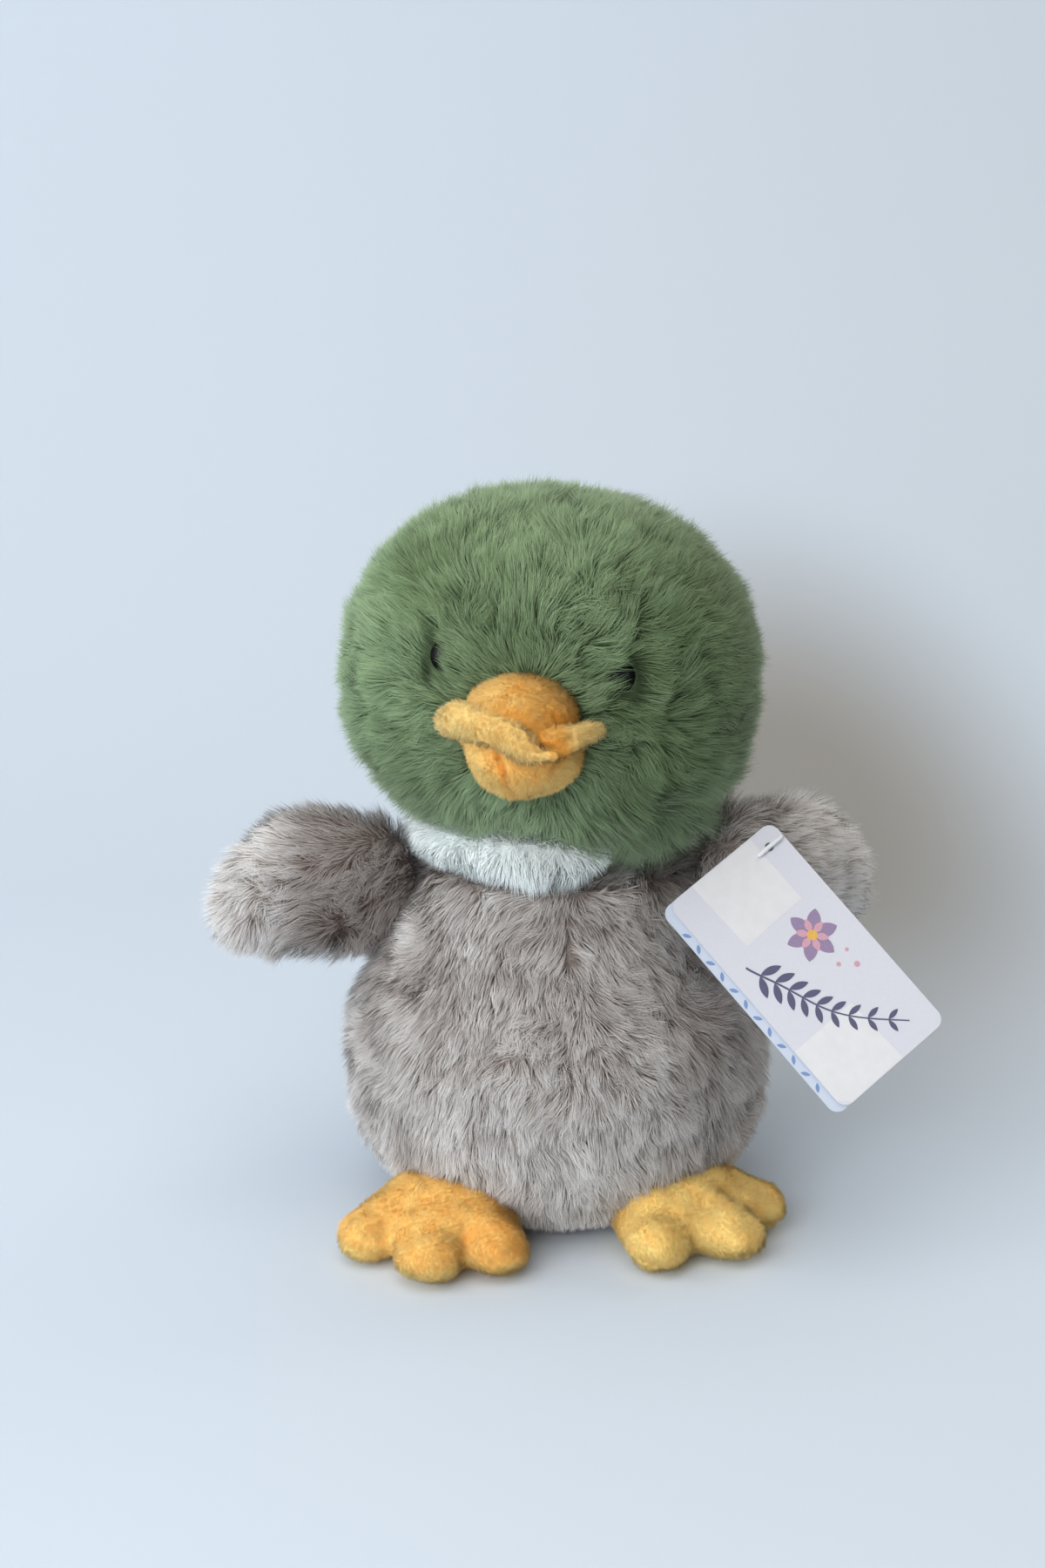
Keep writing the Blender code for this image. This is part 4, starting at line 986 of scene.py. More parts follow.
def build_wing(side_name):
    """Make one wing's two pile panels."""
    side = SIDES[side_name]
    outer = surface(wing_place(side_name), 64, 56, poles="X")
    points = outer["points"]
    points[:, 2] += WING_BUMPS[side] * smooth(0, 0.012, points[:, 2]) * bell(side * points[:, 0] + 0.004, 0.013)
    outer["normals"] = vertex_normals(points, outer["faces"])
    cloth = sunk(outer, WING_CLOTH_DEPTH)
    whorl = np.array([side * 0.016, -0.010, -0.008])

    def comb(roots, normals):
        """Return the lie: out to the tip and round a whorl in front."""
        lie = np.stack([np.full(len(roots), side * 1.0), 0 * roots[:, 0], np.full(len(roots), -0.25)], -1)
        near = bell(distance(roots, whorl), 0.012)[:, None]
        return along_surface(lie * (1 - near) + unit(roots - whorl) * near * 1.5, normals)

    def length(roots):
        """Return the pile's length: longer over the root, where it meets the head."""
        over_root = smooth(0.004, -0.008, side * roots[:, 0]) * smooth(0.006, 0.014, roots[:, 2])
        return PILE_LENGTH * (1 + 0.35 * over_root)

    def wing_painted_light_and_shade(points):
        """Return how much lighter the pile is at points: painted shade at the root, where the wing meets the body,
        and pale at the tip.
        """
        out = side * points[:, 0]
        # The left wing's pile is lifted by painted light, as it lies in shade; the right wing's root has deep
        # painted shade.
        if side > 0:
            return 0.52 * smooth(0.002, 0.030, out) - 0.06
        return 0.66 * smooth(0.014, 0.036, out) - 0.52

    def chosen(facing):
        """Return the test for the front or back half."""
        def test(centres):
            """Return which centres are on this half."""
            out = np.abs(centres[:, 0])
            _, y = wing_middle(side_name, out, 0 * out)
            return (centres[:, 1] - y) * facing > 0
        return test

    for half, facing, seed in (("front", -1, 500), ("back", 1, 540)):
        node = f"wing_{side_name}_{half}"
        pile_piece(f"pile_{node}", part_of(cloth, chosen(facing)), GREY, {
            "density": PILE_DENSITY, "comb": comb, "length": length, "leans": (0.40, 1.10), "clumps": PILE_CLUMPS,
            "width": PILE_WIDTH, "levels": 2, "swirl": 0.45, "wild": 0.34, "tone": wing_painted_light_and_shade,
            "seed": seed + (0 if side > 0 else 100),
        }, f"wing_{side_name}", [node], Matrix.Translation(WING_AXES[side_name]))


# Bill

DOME = [((-0.0004, -0.0482, 0.0388), (0.0136, 0.0125, 0.0098))]
LEFT_FOLD = strand((
    ((-0.0178, -0.0495, 0.0356), (0.0030, 0.0032, 0.0036)), ((-0.0155, -0.0535, 0.0368), (0.0036, 0.0034, 0.0046)),
    ((-0.0105, -0.0572, 0.0372), (0.0038, 0.0034, 0.0040)), ((-0.0055, -0.0598, 0.0371), (0.0038, 0.0032, 0.0037)),
    ((-0.0010, -0.0618, 0.0366), (0.0034, 0.0031, 0.0041)), ((0.0018, -0.0632, 0.0356), (0.0028, 0.0028, 0.0038)),
    ((0.0046, -0.0646, 0.0341), (0.0022, 0.0022, 0.0026)), ((0.0070, -0.0655, 0.0337), (0.0016, 0.0016, 0.0015)),
    ((0.0100, -0.0660, 0.0341), (0.0012, 0.0012, 0.0009)),
), 44)
RIGHT_FOLD = strand((
    ((0.0050, -0.0590, 0.0362), (0.0030, 0.0030, 0.0028)), ((0.0095, -0.0600, 0.0366), (0.0030, 0.0026, 0.0027)),
    ((0.0134, -0.0580, 0.0378), (0.0026, 0.0022, 0.0025)), ((0.0166, -0.0545, 0.0386), (0.0020, 0.0018, 0.0019)),
    ((0.0194, -0.0510, 0.0384), (0.0009, 0.0012, 0.0009)),
), 24)
RIGHT_EDGE = strand((
    ((0.0098, -0.0655, 0.0342), (0.0012, 0.0014, 0.0011)), ((0.0145, -0.0610, 0.0358), (0.0013, 0.0014, 0.0013)),
    ((0.0192, -0.0525, 0.0378), (0.0009, 0.0012, 0.0008)),
), 18)
BILL_GRAIN = 0.0005
BILL_MELT = 0.0007


NAP_SINK = 0.0003
NAP = {"length": 0.0016, "width": 0.00011, "levels": 1, "cloth_along": NAP_ALONG}
NAP_CLUMP = (0.0011, 0.1, 0.6, 1.0)
LOWER_MELT = 0.0010
LOWER_BOWLS = [
    [((0.0006, -0.0478, 0.0300), (0.0137, 0.0134, 0.0116))],
    [((-0.0008, -0.0470, 0.0335), (0.0152, 0.0126, 0.0085))],
]
LOWER_HOLLOW = ((0.0030, -0.0668, 0.0335), (0.0110, 0.0072, 0.0078), 0.0005)
BILL_STARTS = -0.040


def nubbed(form, seed):
    """Return a form with the fine grain of a short nap."""
    grain = noise(form["points"], 0.0022, seed) * 0.00004 + noise(form["points"], 0.0011, seed + 1) * 0.00005
    points = form["points"] + form["normals"] * grain[:, None]
    return {**form, "points": points, "normals": vertex_normals(points, form["faces"])}


def upper_bill_form():
    """Return the upper bill: a dome, a broad fold of lip on one side and a pointed one on the other."""
    form = blob_form([DOME, LEFT_FOLD, RIGHT_FOLD, RIGHT_EDGE], BILL_MELT, BILL_GRAIN)
    points = form["points"]
    dome, left, right = (
        blob_distances(points, group).min(0) for group in (DOME, LEFT_FOLD, RIGHT_FOLD + RIGHT_EDGE)
    )
    x, z = points[:, 0], points[:, 2]
    share_left = smooth(0.0006, -0.0008, left - np.minimum(dome, right))
    share_right = smooth(0.0006, -0.0008, right - dome)
    # Painted shade low on the dome and in the V between the folds; painted light towards -X, the lamps' side.
    dome_tone_and_painted_light = -0.20 - 0.20 * smooth(0.045, 0.038, z) + 0.10 * smooth(0.0, -0.010, x)
    right_fold_painted_shade = -0.36 + 0.44 * smooth(0.0105, 0.0150, x + (z - 0.038) * 0.6)
    left_fold_painted_light = -0.02 + 0.08 * smooth(-0.004, -0.016, x)
    tone = dome_tone_and_painted_light * (1 - share_right) + right_fold_painted_shade * share_right
    form["tone"] = tone * (1 - share_left) + left_fold_painted_light * share_left
    lumps = noise(points, 0.0026, 71) * 0.00013 + noise(points, 0.012, 72) * 0.0002
    form["points"] = points + form["normals"] * (lumps * (0.25 + 0.75 * share_left))[:, None]
    return nubbed(form, 74)


def lower_bill_form():
    """Return the lower bill: a deep bowl with a seam down its front."""
    form = blob_form(LOWER_BOWLS, LOWER_MELT, BILL_GRAIN, [LOWER_HOLLOW])
    points = form["points"]
    seam = points[:, 0] - (-0.0047 + (0.0337 - points[:, 2]) * 0.38)
    ahead = smooth(-0.0475, -0.055, points[:, 1])
    crease = bell(seam, 0.0007) * 0.0011 - np.exp(-(np.abs(seam) / 0.0024 - 1) ** 2 * 3) * 0.0003
    lumps = noise(points, 0.011, 73) * 0.0003
    form["points"] = points + form["normals"] * (lumps - crease * ahead)[:, None]
    form["normals"] = vertex_normals(form["points"], form["faces"])
    # Painted shade: darker in the bowl's recessed middle and at its back under the upper bill; also darker along the
    # seam.
    inner = 1 - smooth(0.8, 1.15, np.hypot((points[:, 0] - 0.002) / 0.0105, (points[:, 2] - 0.0325) / 0.0085))
    form["tone"] = 0.06 - 0.16 * inner - 0.22 * bell(seam, 0.0009) * ahead
    form["tone"] = form["tone"] - 0.25 * smooth(-0.052, -0.046, points[:, 1])
    return nubbed(form, 76)


def nap_comb(aim):
    """Return a comb whose lie runs from a point over the surface."""
    def comb(roots, normals):
        """Return the lie: away from the point."""
        return along_surface(roots - np.array(aim), normals)
    return comb


def bill_keep(roots, normals):
    """Leave out what lies inside the head."""
    return (roots[:, 1] < BILL_STARTS).astype(float)


def build_bill():
    """Make the two bill covers in their short nap."""
    for name, form, finish, seed, aim in (
        ("upper", upper_bill_form(), ORANGE, 700, (0, -0.046, 0.056)),
        ("lower", lower_bill_form(), ORANGE_WITH_PAINTED_LIGHT, 720, (0, -0.05, 0.045)),
    ):
        pile_piece(f"nap_bill_{name}", sunk(form, NAP_SINK), finish, {
            **NAP, "density": 1100, "leans": (0.55, 0.80), "clumps": ((*NAP_CLUMP, 0.07),), "swirl": 0.7,
            "swirl_length": 0.010, "wild": 0.7, "seed": seed, "comb": nap_comb(aim), "keep": bill_keep,
        }, "head", [f"bill_{name}_cover"], HEAD_FRAME)


# Eyes

def ring_places(radius, sides):
    """Return places evenly round a circle."""
    return [
        (radius * math.cos(WHOLE_TURN * step / sides), radius * math.sin(WHOLE_TURN * step / sides))
        for step in range(sides)
    ]


def finished(name, made, finishes, matrix, body, nodes=(), rounded=False):
    """Turn a bmesh into a piece that rides on a body."""
    bmesh.ops.recalc_face_normals(made, faces=made.faces)
    mesh = bpy.data.meshes.new(name)
    made.to_mesh(mesh)
    made.free()
    if rounded:
        mesh.shade_smooth()
    for finish in finishes:
        mesh.materials.append(finish)
    thing = add_object(name, mesh, matrix)
    if nodes:
        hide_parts(*nodes)
    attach(thing, body)


def turned(profile, sides):
    """Return a closed turned form from a profile of (radius, height) from bottom to top."""
    made = bmesh.new()
    rings = []
    for radius, height in profile:
        places = ring_places(radius, sides) if radius else [(0, 0)]
        rings.append([made.verts.new((x, y, height)) for x, y in places])
    for low, high in zip(rings, rings[1:]):
        for step in range(sides):
            after = (step + 1) % sides
            corners = [low[step % len(low)], low[after % len(low)], high[after % len(high)], high[step % len(high)]]
            unique = list(dict.fromkeys(corners))
            if len(unique) > 2:
                made.faces.new(unique)
    return made


EYE_RADIUS = 0.0045
EYE_DOME = 0.0042
EYE_RIM = 0.0040
EYE_STEM = [(0, -0.007), (0.0013, -0.007), (0.0015, -0.0068), (0.0015, -0.0003), (EYE_RIM, -0.0003)]
EYE_BASE_DEPTH = 0.0086
EYE_SIDES = 48


def build_eyes():
    """Make the two black eyes with their stems, and give the CAD washers their plastic."""
    black = mottled_material(
        "black_plastic_gloss", (8, 8, 8), (16, 15, 14), 900.0, {"Roughness": 0.38, "Specular IOR Level": 0.18},
    )
    white = mottled_material("white_plastic_satin", (226, 226, 222), (238, 238, 235), 1200.0, {"Roughness": 0.4})
    turns = np.linspace(0, QUARTER_TURN, 16)[:-1]
    profile = [*EYE_STEM, *((EYE_RADIUS * math.cos(t), EYE_DOME * math.sin(t)) for t in turns), (0, EYE_DOME)]
    for side_name, side in SIDES.items():
        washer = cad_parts[f"eye_washer_{side_name}"]
        for place in range(len(washer.material_slots)):
            washer.material_slots[place].material = white
        outward, outer = EYE_LINES[side]
        base = Matrix.Translation(Vector(outer - outward * EYE_BASE_DEPTH))
        turn = Vector(outward).to_track_quat("Z", "Y").to_matrix().to_4x4()
        finished(
            f"button_eye_{side_name}", turned(profile, EYE_SIDES), [black], HEAD_FRAME @ base @ turn,
            "head", [f"eye_{side_name}"], rounded=True,
        )


# Feet

FOOT_SEAM_HEIGHT = 0.0040
FOOT_SETBACK = 0.012
FOOT_AXIS_HEIGHT = 0.0005
FOOT_MELT = 0.0020
FOOT_GRAIN = 0.0006
SOLE_GAP = 0.0002
FOOT_BLOBS = [
    [((0.0, -0.0150, 0.0085), (0.0150, 0.0145, 0.0098)), ((0.0, -0.0060, 0.0075), (0.0130, 0.0120, 0.0080))],
    [((0.0, -0.0222, 0.0064), (0.0186, 0.0138, 0.0080))],
]
for toe_x, toe_y, toe_width in ((0.0010, -0.0398, 0.0080), (-0.0178, -0.0310, 0.0078), (0.0176, -0.0322, 0.0078)):
    FOOT_BLOBS.append(strand((
        ((toe_x * 0.45, -0.0150 + (toe_y + 0.0150) * 0.30, 0.0078), (0.0092, 0.0092, 0.0086)),
        ((toe_x, toe_y, 0.0060), (toe_width, toe_width, 0.0059)),
    ), 24))


def foot_frame(side_name):
    """Return the frame of a foot's axis."""
    root, splay = FOOT_ROOTS[side_name], FOOT_SPLAYS[side_name]
    back = Vector((-math.sin(splay), math.cos(splay), 0)) * FOOT_SETBACK
    place = Vector((*root, FOOT_AXIS_HEIGHT)) + back
    return Matrix.Translation(place) @ Matrix.Rotation(splay, 4, "Z")


def foot_keep(roots, normals):
    """Leave out what lies under the body and against the ground."""
    return ((roots[:, 1] < 0.004) & (normals[:, 2] > -0.9)).astype(float)


def foot_painted_light_and_shade(side_name, points):
    """Return how much lighter a foot's nap is: painted light, yellow, at the right foot's low edge and over the left
    foot, and painted shade at each inner toe.
    """
    x, y, z = points.T
    if side_name == "right":
        edge = smooth(0.024, 0.036, np.hypot(x, y + FOOT_SETBACK))
        return -0.02 + 0.24 * edge * smooth(0.0075, 0.0035, z) - 0.08 * smooth(0.006, 0.016, x)
    return 0.18 - 0.16 * smooth(-0.010, -0.022, x) * smooth(-0.030, -0.016, y)


def build_foot(side_name):
    """Make one foot's upper and sole in their short nap."""
    form = blob_form(FOOT_BLOBS, FOOT_MELT, FOOT_GRAIN)
    points = form["points"]
    lumps = noise(points, 0.012, 75 + SIDES[side_name]) * 0.0003
    points = points + form["normals"] * lumps[:, None]
    points[:, 2] = np.maximum(points[:, 2], SOLE_GAP + 0.0006 * np.tanh(np.maximum(0, points[:, 2]) / 0.001))
    form["points"] = points
    form["normals"] = vertex_normals(points, form["faces"])
    form["tone"] = foot_painted_light_and_shade(side_name, points) + noise(points, 0.009, 77) * 0.02
    cloth = nubbed(sunk(form, NAP_SINK), 78)
    ground = GROUND_GAP - FOOT_AXIS_HEIGHT
    cloth["points"][:, 2] = np.maximum(cloth["points"][:, 2], ground + 0.0001)
    seam = FOOT_SEAM_HEIGHT - FOOT_AXIS_HEIGHT
    for half, chosen, density, seed in (
        ("upper", lambda c: c[:, 2] >= seam, 1100, 760), ("sole", lambda c: c[:, 2] < seam, 900, 780),
    ):
        pile_piece(f"nap_foot_{side_name}_{half}", part_of(cloth, chosen), ORANGE_WITH_PAINTED_LIGHT, {
            **NAP, "density": density, "leans": (0.60, 0.85), "clumps": ((*NAP_CLUMP, 0.06),), "swirl": 0.6,
            "swirl_length": 0.012, "wild": 0.6, "seed": seed + 5 * SIDES[side_name],
            "comb": nap_comb((0, 0.01, 0.02)), "keep": foot_keep, "floor": ground,
        }, f"foot_{side_name}", [f"foot_{side_name}_{half}"], foot_frame(side_name))


# Tail

TAIL_SIZE = (0.034, 0.040, 0.015)
TAIL_HEIGHT = 0.040
TAIL_PITCH = math.radians(28.0)
TAIL_TAPER_SHARE = 0.42
# Painted light on the tail's pile, as low on the body round it
TAIL_PAINTED_LIGHT = 0.16


def build_tail():
    """Make the tail's two pile panels."""

    def place(units):
        """Return the tail's points, tapered to its tip."""
        taper = 1.0 - TAIL_TAPER_SHARE * units[:, 1]
        widths = np.stack([taper, np.ones(len(units)), taper], -1)
        return units * widths * np.array(TAIL_SIZE) / 2

    outer = surface(place, 72, 48)
    cloth = sunk(outer, 0.0035)
    back = float(body_radius_share(np.array([TAIL_HEIGHT]))[0]) * BODY_DEPTH / 2
    matrix = Matrix.Translation((0, back, TAIL_HEIGHT)) @ Matrix.Rotation(TAIL_PITCH, 4, "X")

    def tail_painted_light(points):
        """Return how much lighter the pile is: painted light, as on the back round it."""
        return np.full(len(points), TAIL_PAINTED_LIGHT)

    def comb(roots, normals):
        """Return the lie: back to the tip."""
        return along_surface(np.tile([[0.0, 1.0, -0.15]], (len(roots), 1)), normals)

    for half, facing, seed in (("top", 1, 800), ("bottom", -1, 820)):
        def chosen(centres):
            """Return which centres are on this half."""
            return centres[:, 2] * facing >= 0

        pile_piece(f"pile_tail_{half}", part_of(cloth, chosen), GREY, {
            "density": 260, "comb": comb, "length": 0.0085, "leans": (0.35, 1.15), "width": 0.00028, "levels": 3,
            "clumps": ((0.0014, 0.3, 0.7, 1.3, 0.06),), "seed": seed, "tone": tail_painted_light,
        }, "body", [f"tail_{half}"], matrix)


# Card, fastener and label

CARD_LENGTH = 0.068
CARD_WIDTH = 0.036
CARD_THICKNESS = 0.0004
CARD_INSET = 0.005
LEAF_SPACING = 0.0009
BACK_OVERHANG = 0.0025
HOLE_RADIUS = 0.0012
INK_HEIGHT = 0.00005
INK_STEP = 0.00003
INK_SCALE = 2500.0
CARD_HALF = CARD_THICKNESS / 2
CARD_LEFT, CARD_RIGHT = -CARD_INSET, CARD_LENGTH - CARD_INSET
CARD_BOTTOM = CARD_INSET - CARD_WIDTH
CORNER_RADIUS = 0.003
TAPES = (
    [(-0.0048, -0.0026), (0.0155, -0.0026), (0.0160, -0.0222), (-0.0048, -0.0228)],
    [(0.0440, -0.0309), (0.0440, -0.0110), (0.0629, -0.0102), (0.0629, -0.0280), (0.0600, -0.0309)],
)
FLOWER = (0.0245, -0.0070)
PETALS = 6
STEM_STEPS = 40

TAG_HANG = (
    Matrix.Translation(TAG_HOLE_PLACE) @ Matrix.Rotation(TAG_YAW, 4, "Z")
    @ Matrix.Rotation(QUARTER_TURN - TAG_LEAN, 4, "X")
)
TAG_FRAME = TAG_HANG @ Matrix.Rotation(-TAG_ROLL, 4, "Z")


def rounded_outline(low, high, radius, steps=8):
    """Return the outline of a rectangle with rounded corners, anticlockwise."""
    points = []
    for across, up, start in (
        (high[0] - radius, high[1] - radius, 0.0), (low[0] + radius, high[1] - radius, QUARTER_TURN),
        (low[0] + radius, low[1] + radius, math.pi), (high[0] - radius, low[1] + radius, math.pi + QUARTER_TURN),
    ):
        for step in range(steps + 1):
            turn = start + QUARTER_TURN * step / steps
            points.append((across + radius * math.cos(turn), up + radius * math.sin(turn)))
    return points


def add_plate(made, outline, low, high, hole=None, slot=0):
    """Add a flat plate to a bmesh, with an outline and perhaps a hole, between two heights."""
    loops = [outline] + ([hole] if hole else [])
    sides = [[[made.verts.new((x, y, z)) for x, y in loop] for z in (low, high)] for loop in loops]
    for bottom, top in sides:
        for here in range(len(bottom)):
            after = (here + 1) % len(bottom)
            made.faces.new((bottom[here], bottom[after], top[after], top[here])).material_index = slot
    for level in (0, 1):
        if not hole:
            made.faces.new(sides[0][level]).material_index = slot
            continue
        rings = [side[level] for side in sides]
        edges = [made.edges.get(pair) for ring in rings for pair in zip(ring, ring[1:] + ring[:1])]
        filled = bmesh.ops.triangle_fill(made, edges=edges, use_beauty=True)
        for face in filled["geom"]:
            if isinstance(face, bmesh.types.BMFace):
                face.material_index = slot


def circle(centre, radius, steps=20):
    """Return a circle's outline."""
    return [(centre[0] + x, centre[1] + y) for x, y in ring_places(radius, steps)]


def ribbon(path, widths):
    """Return the outline of a stroke along a path."""
    left, right = [], []
    for index, point in enumerate(path):
        before, after = path[max(0, index - 1)], path[min(len(path) - 1, index + 1)]
        run = math.hypot(after[0] - before[0], after[1] - before[1]) or 1e-9
        across = (-(after[1] - before[1]) / run, (after[0] - before[0]) / run)
        half = widths[index] / 2
        left.append((point[0] + across[0] * half, point[1] + across[1] * half))
        right.append((point[0] - across[0] * half, point[1] - across[1] * half))
    return right + left[::-1]


def leaf_outline(centre, length, width, turn, steps=12):
    """Return a pointed leaf's outline."""
    points = []
    for step in range(2 * steps):
        share = step / steps
        along = share if share <= 1 else 2 - share
        x = (along - 0.5) * length
        y = math.sin(math.pi * along) ** 0.8 * width / 2 * (-1 if share <= 1 else 1)
        points.append((
            centre[0] + x * math.cos(turn) - y * math.sin(turn), centre[1] + x * math.sin(turn) + y * math.cos(turn),
        ))
    return points


def ink(name, red, green, blue, roughness=0.45, mottle=0.94):
    """Return a printed ink's material, with a faint mottle."""
    low = (red * mottle, green * mottle, blue * mottle)
    return mottled_material(name, low, (red, green, blue), INK_SCALE, {"Roughness": roughness})


def on_card(name, made, finishes, nodes=()):
    """Turn a bmesh into a piece that swings with the card."""
    finished(name, made, finishes, TAG_FRAME, "tag", nodes)


def build_card():
    """Make the folded card and its tape."""
    back = CARD_HALF - LEAF_SPACING
    made = bmesh.new()
    hole = circle((0, 0), HOLE_RADIUS, 28)
    front_leaf = rounded_outline((CARD_LEFT, CARD_BOTTOM), (CARD_RIGHT, CARD_INSET), CORNER_RADIUS)
    back_leaf = rounded_outline(
        (CARD_LEFT, CARD_BOTTOM - BACK_OVERHANG), (CARD_RIGHT, CARD_INSET), CORNER_RADIUS,
    )
    fold = rounded_outline(
        (CARD_LEFT + CORNER_RADIUS, CARD_INSET - 0.001), (CARD_RIGHT - CORNER_RADIUS, CARD_INSET - INK_HEIGHT),
        0.0002, 3,
    )
    add_plate(made, front_leaf, -CARD_HALF, CARD_HALF, hole, 0)
    add_plate(made, back_leaf, back - CARD_THICKNESS, back, hole, 1)
    add_plate(made, fold, back - CARD_THICKNESS + INK_HEIGHT, CARD_HALF - INK_HEIGHT)
    on_card("folded_card", made, [
        ink("card_stock", 209, 209, 218, 0.5, 0.985), ink("card_stock_back", 196, 205, 220, 0.55, 0.985),
    ], ["swing_tag"])

    tape = mottled_material(
        "aged_tape", (216, 216, 218), (220, 220, 222), 300.0, {"Roughness": 0.32, "Specular IOR Level": 0.4},
    )
    made = bmesh.new()
    for outline in TAPES:
        add_plate(made, outline, CARD_HALF, CARD_HALF + INK_HEIGHT)
    on_card("card_tape", made, [tape])


def build_card_print():
    """Make the card's print: a flower, a sprig and dots in front, and small leaves along the back leaf's edge."""
    inks = [
        ink("ink_slate", 86, 84, 112), ink("ink_mauve", 148, 128, 160), ink("ink_pink", 208, 158, 172),
        ink("ink_amber", 226, 178, 84),
    ]
    slate, mauve, pink, amber = range(len(inks))
    low, high = CARD_HALF - 0.00002, CARD_HALF + INK_HEIGHT + INK_STEP
    made = bmesh.new()
    for length, width, out, offset, colour in (
        (0.0062, 0.0036, 0.0040, 0.2, mauve), (0.0036, 0.0019, 0.0026, 0.2 + math.pi / PETALS, pink),
    ):
        for index in range(PETALS):
            turn = WHOLE_TURN * index / PETALS + offset
            centre = (FLOWER[0] + out * math.cos(turn), FLOWER[1] + out * math.sin(turn))
            petal = leaf_outline(centre, length, width, turn)
            add_plate(made, petal, low, high + INK_STEP * (colour - mauve), None, colour)
    add_plate(made, circle(FLOWER, 0.0014), low, high + 2 * INK_STEP, None, amber)
    stem = []
    for step in range(STEM_STEPS + 1):
        share = step / STEM_STEPS
        stem.append((0.0200 + 0.0370 * share, -0.0262 + 0.0230 * share ** 1.5 + 0.0012 * math.sin(share * 7)))
    widths = [0.00055 - 0.0002 * step / STEM_STEPS for step in range(STEM_STEPS + 1)]
    add_plate(made, ribbon(stem, widths), low, high, None, slate)
    for index in range(4, STEM_STEPS, 4):
        place, after = stem[index], stem[index + 1]
        heading = math.atan2(after[1] - place[1], after[0] - place[0])
        size = 0.0062 * (1 - 0.45 * index / STEM_STEPS)
        for side in (1, -1):
            turn = heading + side * 0.85
            centre = (place[0] + size * 0.55 * math.cos(turn), place[1] + size * 0.55 * math.sin(turn))
            add_plate(made, leaf_outline(centre, size, size * 0.36, turn), low, high, None, slate)
    for place, radius in (((0.0345, -0.0068), 0.0006), ((0.0375, -0.0030), 0.0008), ((0.0330, -0.0025), 0.0005)):
        add_plate(made, circle(place, radius, 16), low, high, None, pink)
    on_card("card_print", made, inks)

    blue = ink("ink_blue", 120, 146, 190)
    back = CARD_HALF - LEAF_SPACING
    made = bmesh.new()
    for index in range(12):
        centre = (0.0040 + 0.0046 * index, CARD_BOTTOM - BACK_OVERHANG * 0.52)
        leaf = leaf_outline(centre, 0.0026, 0.0010, 0.6 * (-1) ** index)
        add_plate(made, leaf, back - 0.00002, back + INK_HEIGHT)
    on_card("card_back_print", made, [blue])


def tube(made, path, radii, sides=14):
    """Add a closed tube along a path of points, with a radius at each."""
    rings = []
    aside = None
    for index, point in enumerate(path):
        before, after = path[max(0, index - 1)], path[min(len(path) - 1, index + 1)]
        run = (after - before).normalized()
        aside = (aside - run * aside.dot(run) if rings else run.orthogonal()).normalized()
        up = run.cross(aside)
        rings.append([
            made.verts.new(point + (aside * x + up * y) * radii[index]) for x, y in ring_places(1, sides)
        ])
    for low, high in zip(rings, rings[1:]):
        for here in range(sides):
            after = (here + 1) % sides
            made.faces.new((low[here], low[after], high[after], high[here]))
    made.faces.new(rings[0][::-1])
    made.faces.new(rings[-1])


BAR_RADIUS = 0.0006
BAR_HALF_LENGTH = 0.0045
BAR_CAPS = ((0.98, 0.35), (0.93, 0.75), (0.85, 1.0), (0.3, 1.0))
FILAMENT_RADIUS = 0.00045
FILAMENT_LENGTH = 0.0215
FILAMENT_STEPS = 24


def build_fastener():
    """Make the clear fastener: its filament and a bar at each end."""
    clear = mottled_material("clear_nylon_moulding", (238, 241, 245), (248, 250, 252), 700.0, {
        "Roughness": 0.22, "IOR": 1.53, "Transmission Weight": 0.15,
    })
    made = bmesh.new()
    top = CARD_HALF + 0.0003 + BAR_RADIUS
    inner = top - FILAMENT_LENGTH
    across = Vector((math.sin(TAG_ROLL), math.cos(TAG_ROLL), 0))
    shares = [(-a, r) for a, r in BAR_CAPS] + [(a, r) for a, r in BAR_CAPS[::-1]]
    for height in (top, inner):
        bar = [across * BAR_HALF_LENGTH * a + Vector((0, 0, height)) for a, _ in shares]
        tube(made, bar, [BAR_RADIUS * r for _, r in shares])
    steps = [step / FILAMENT_STEPS for step in range(FILAMENT_STEPS + 1)]
    path = [Vector((0.0003 * math.sin(math.pi * share), 0, inner + (top - inner) * share)) for share in steps]
    tube(made, path, [FILAMENT_RADIUS] * len(path))
    finished(
        "fastener_loop", made, [clear], TAG_HANG, "wing_left", ["tag_fastener"], rounded=True,
    )


LABEL_HEIGHT = 0.005
LABEL_OFFSET = -0.020
LABEL_PITCH = math.radians(-9.0)
LABEL_WIDTH = 0.018
LABEL_REACH = (0.0006, 0.022)
LABEL_HALF_THICKNESS = 0.00026
LABEL_ROWS = 22
LABEL_COLUMNS = 18


def label_frame():
    """Return the frame of the label, square to the body's outline behind the base."""
    share = float(body_radius_share(np.array([LABEL_HEIGHT]))[0])
    half_width, half_depth = share * BODY_WIDTH / 2, share * BODY_DEPTH / 2
    edge = math.sqrt(1.0 - (LABEL_OFFSET / half_width) ** 2) * half_depth
    outward = math.atan2(-LABEL_OFFSET / half_width ** 2, edge / half_depth ** 2)
    return (
        Matrix.Translation((LABEL_OFFSET, edge, LABEL_HEIGHT)) @ Matrix.Rotation(outward, 4, "Z")
        @ Matrix.Rotation(LABEL_PITCH, 4, "X")
    )


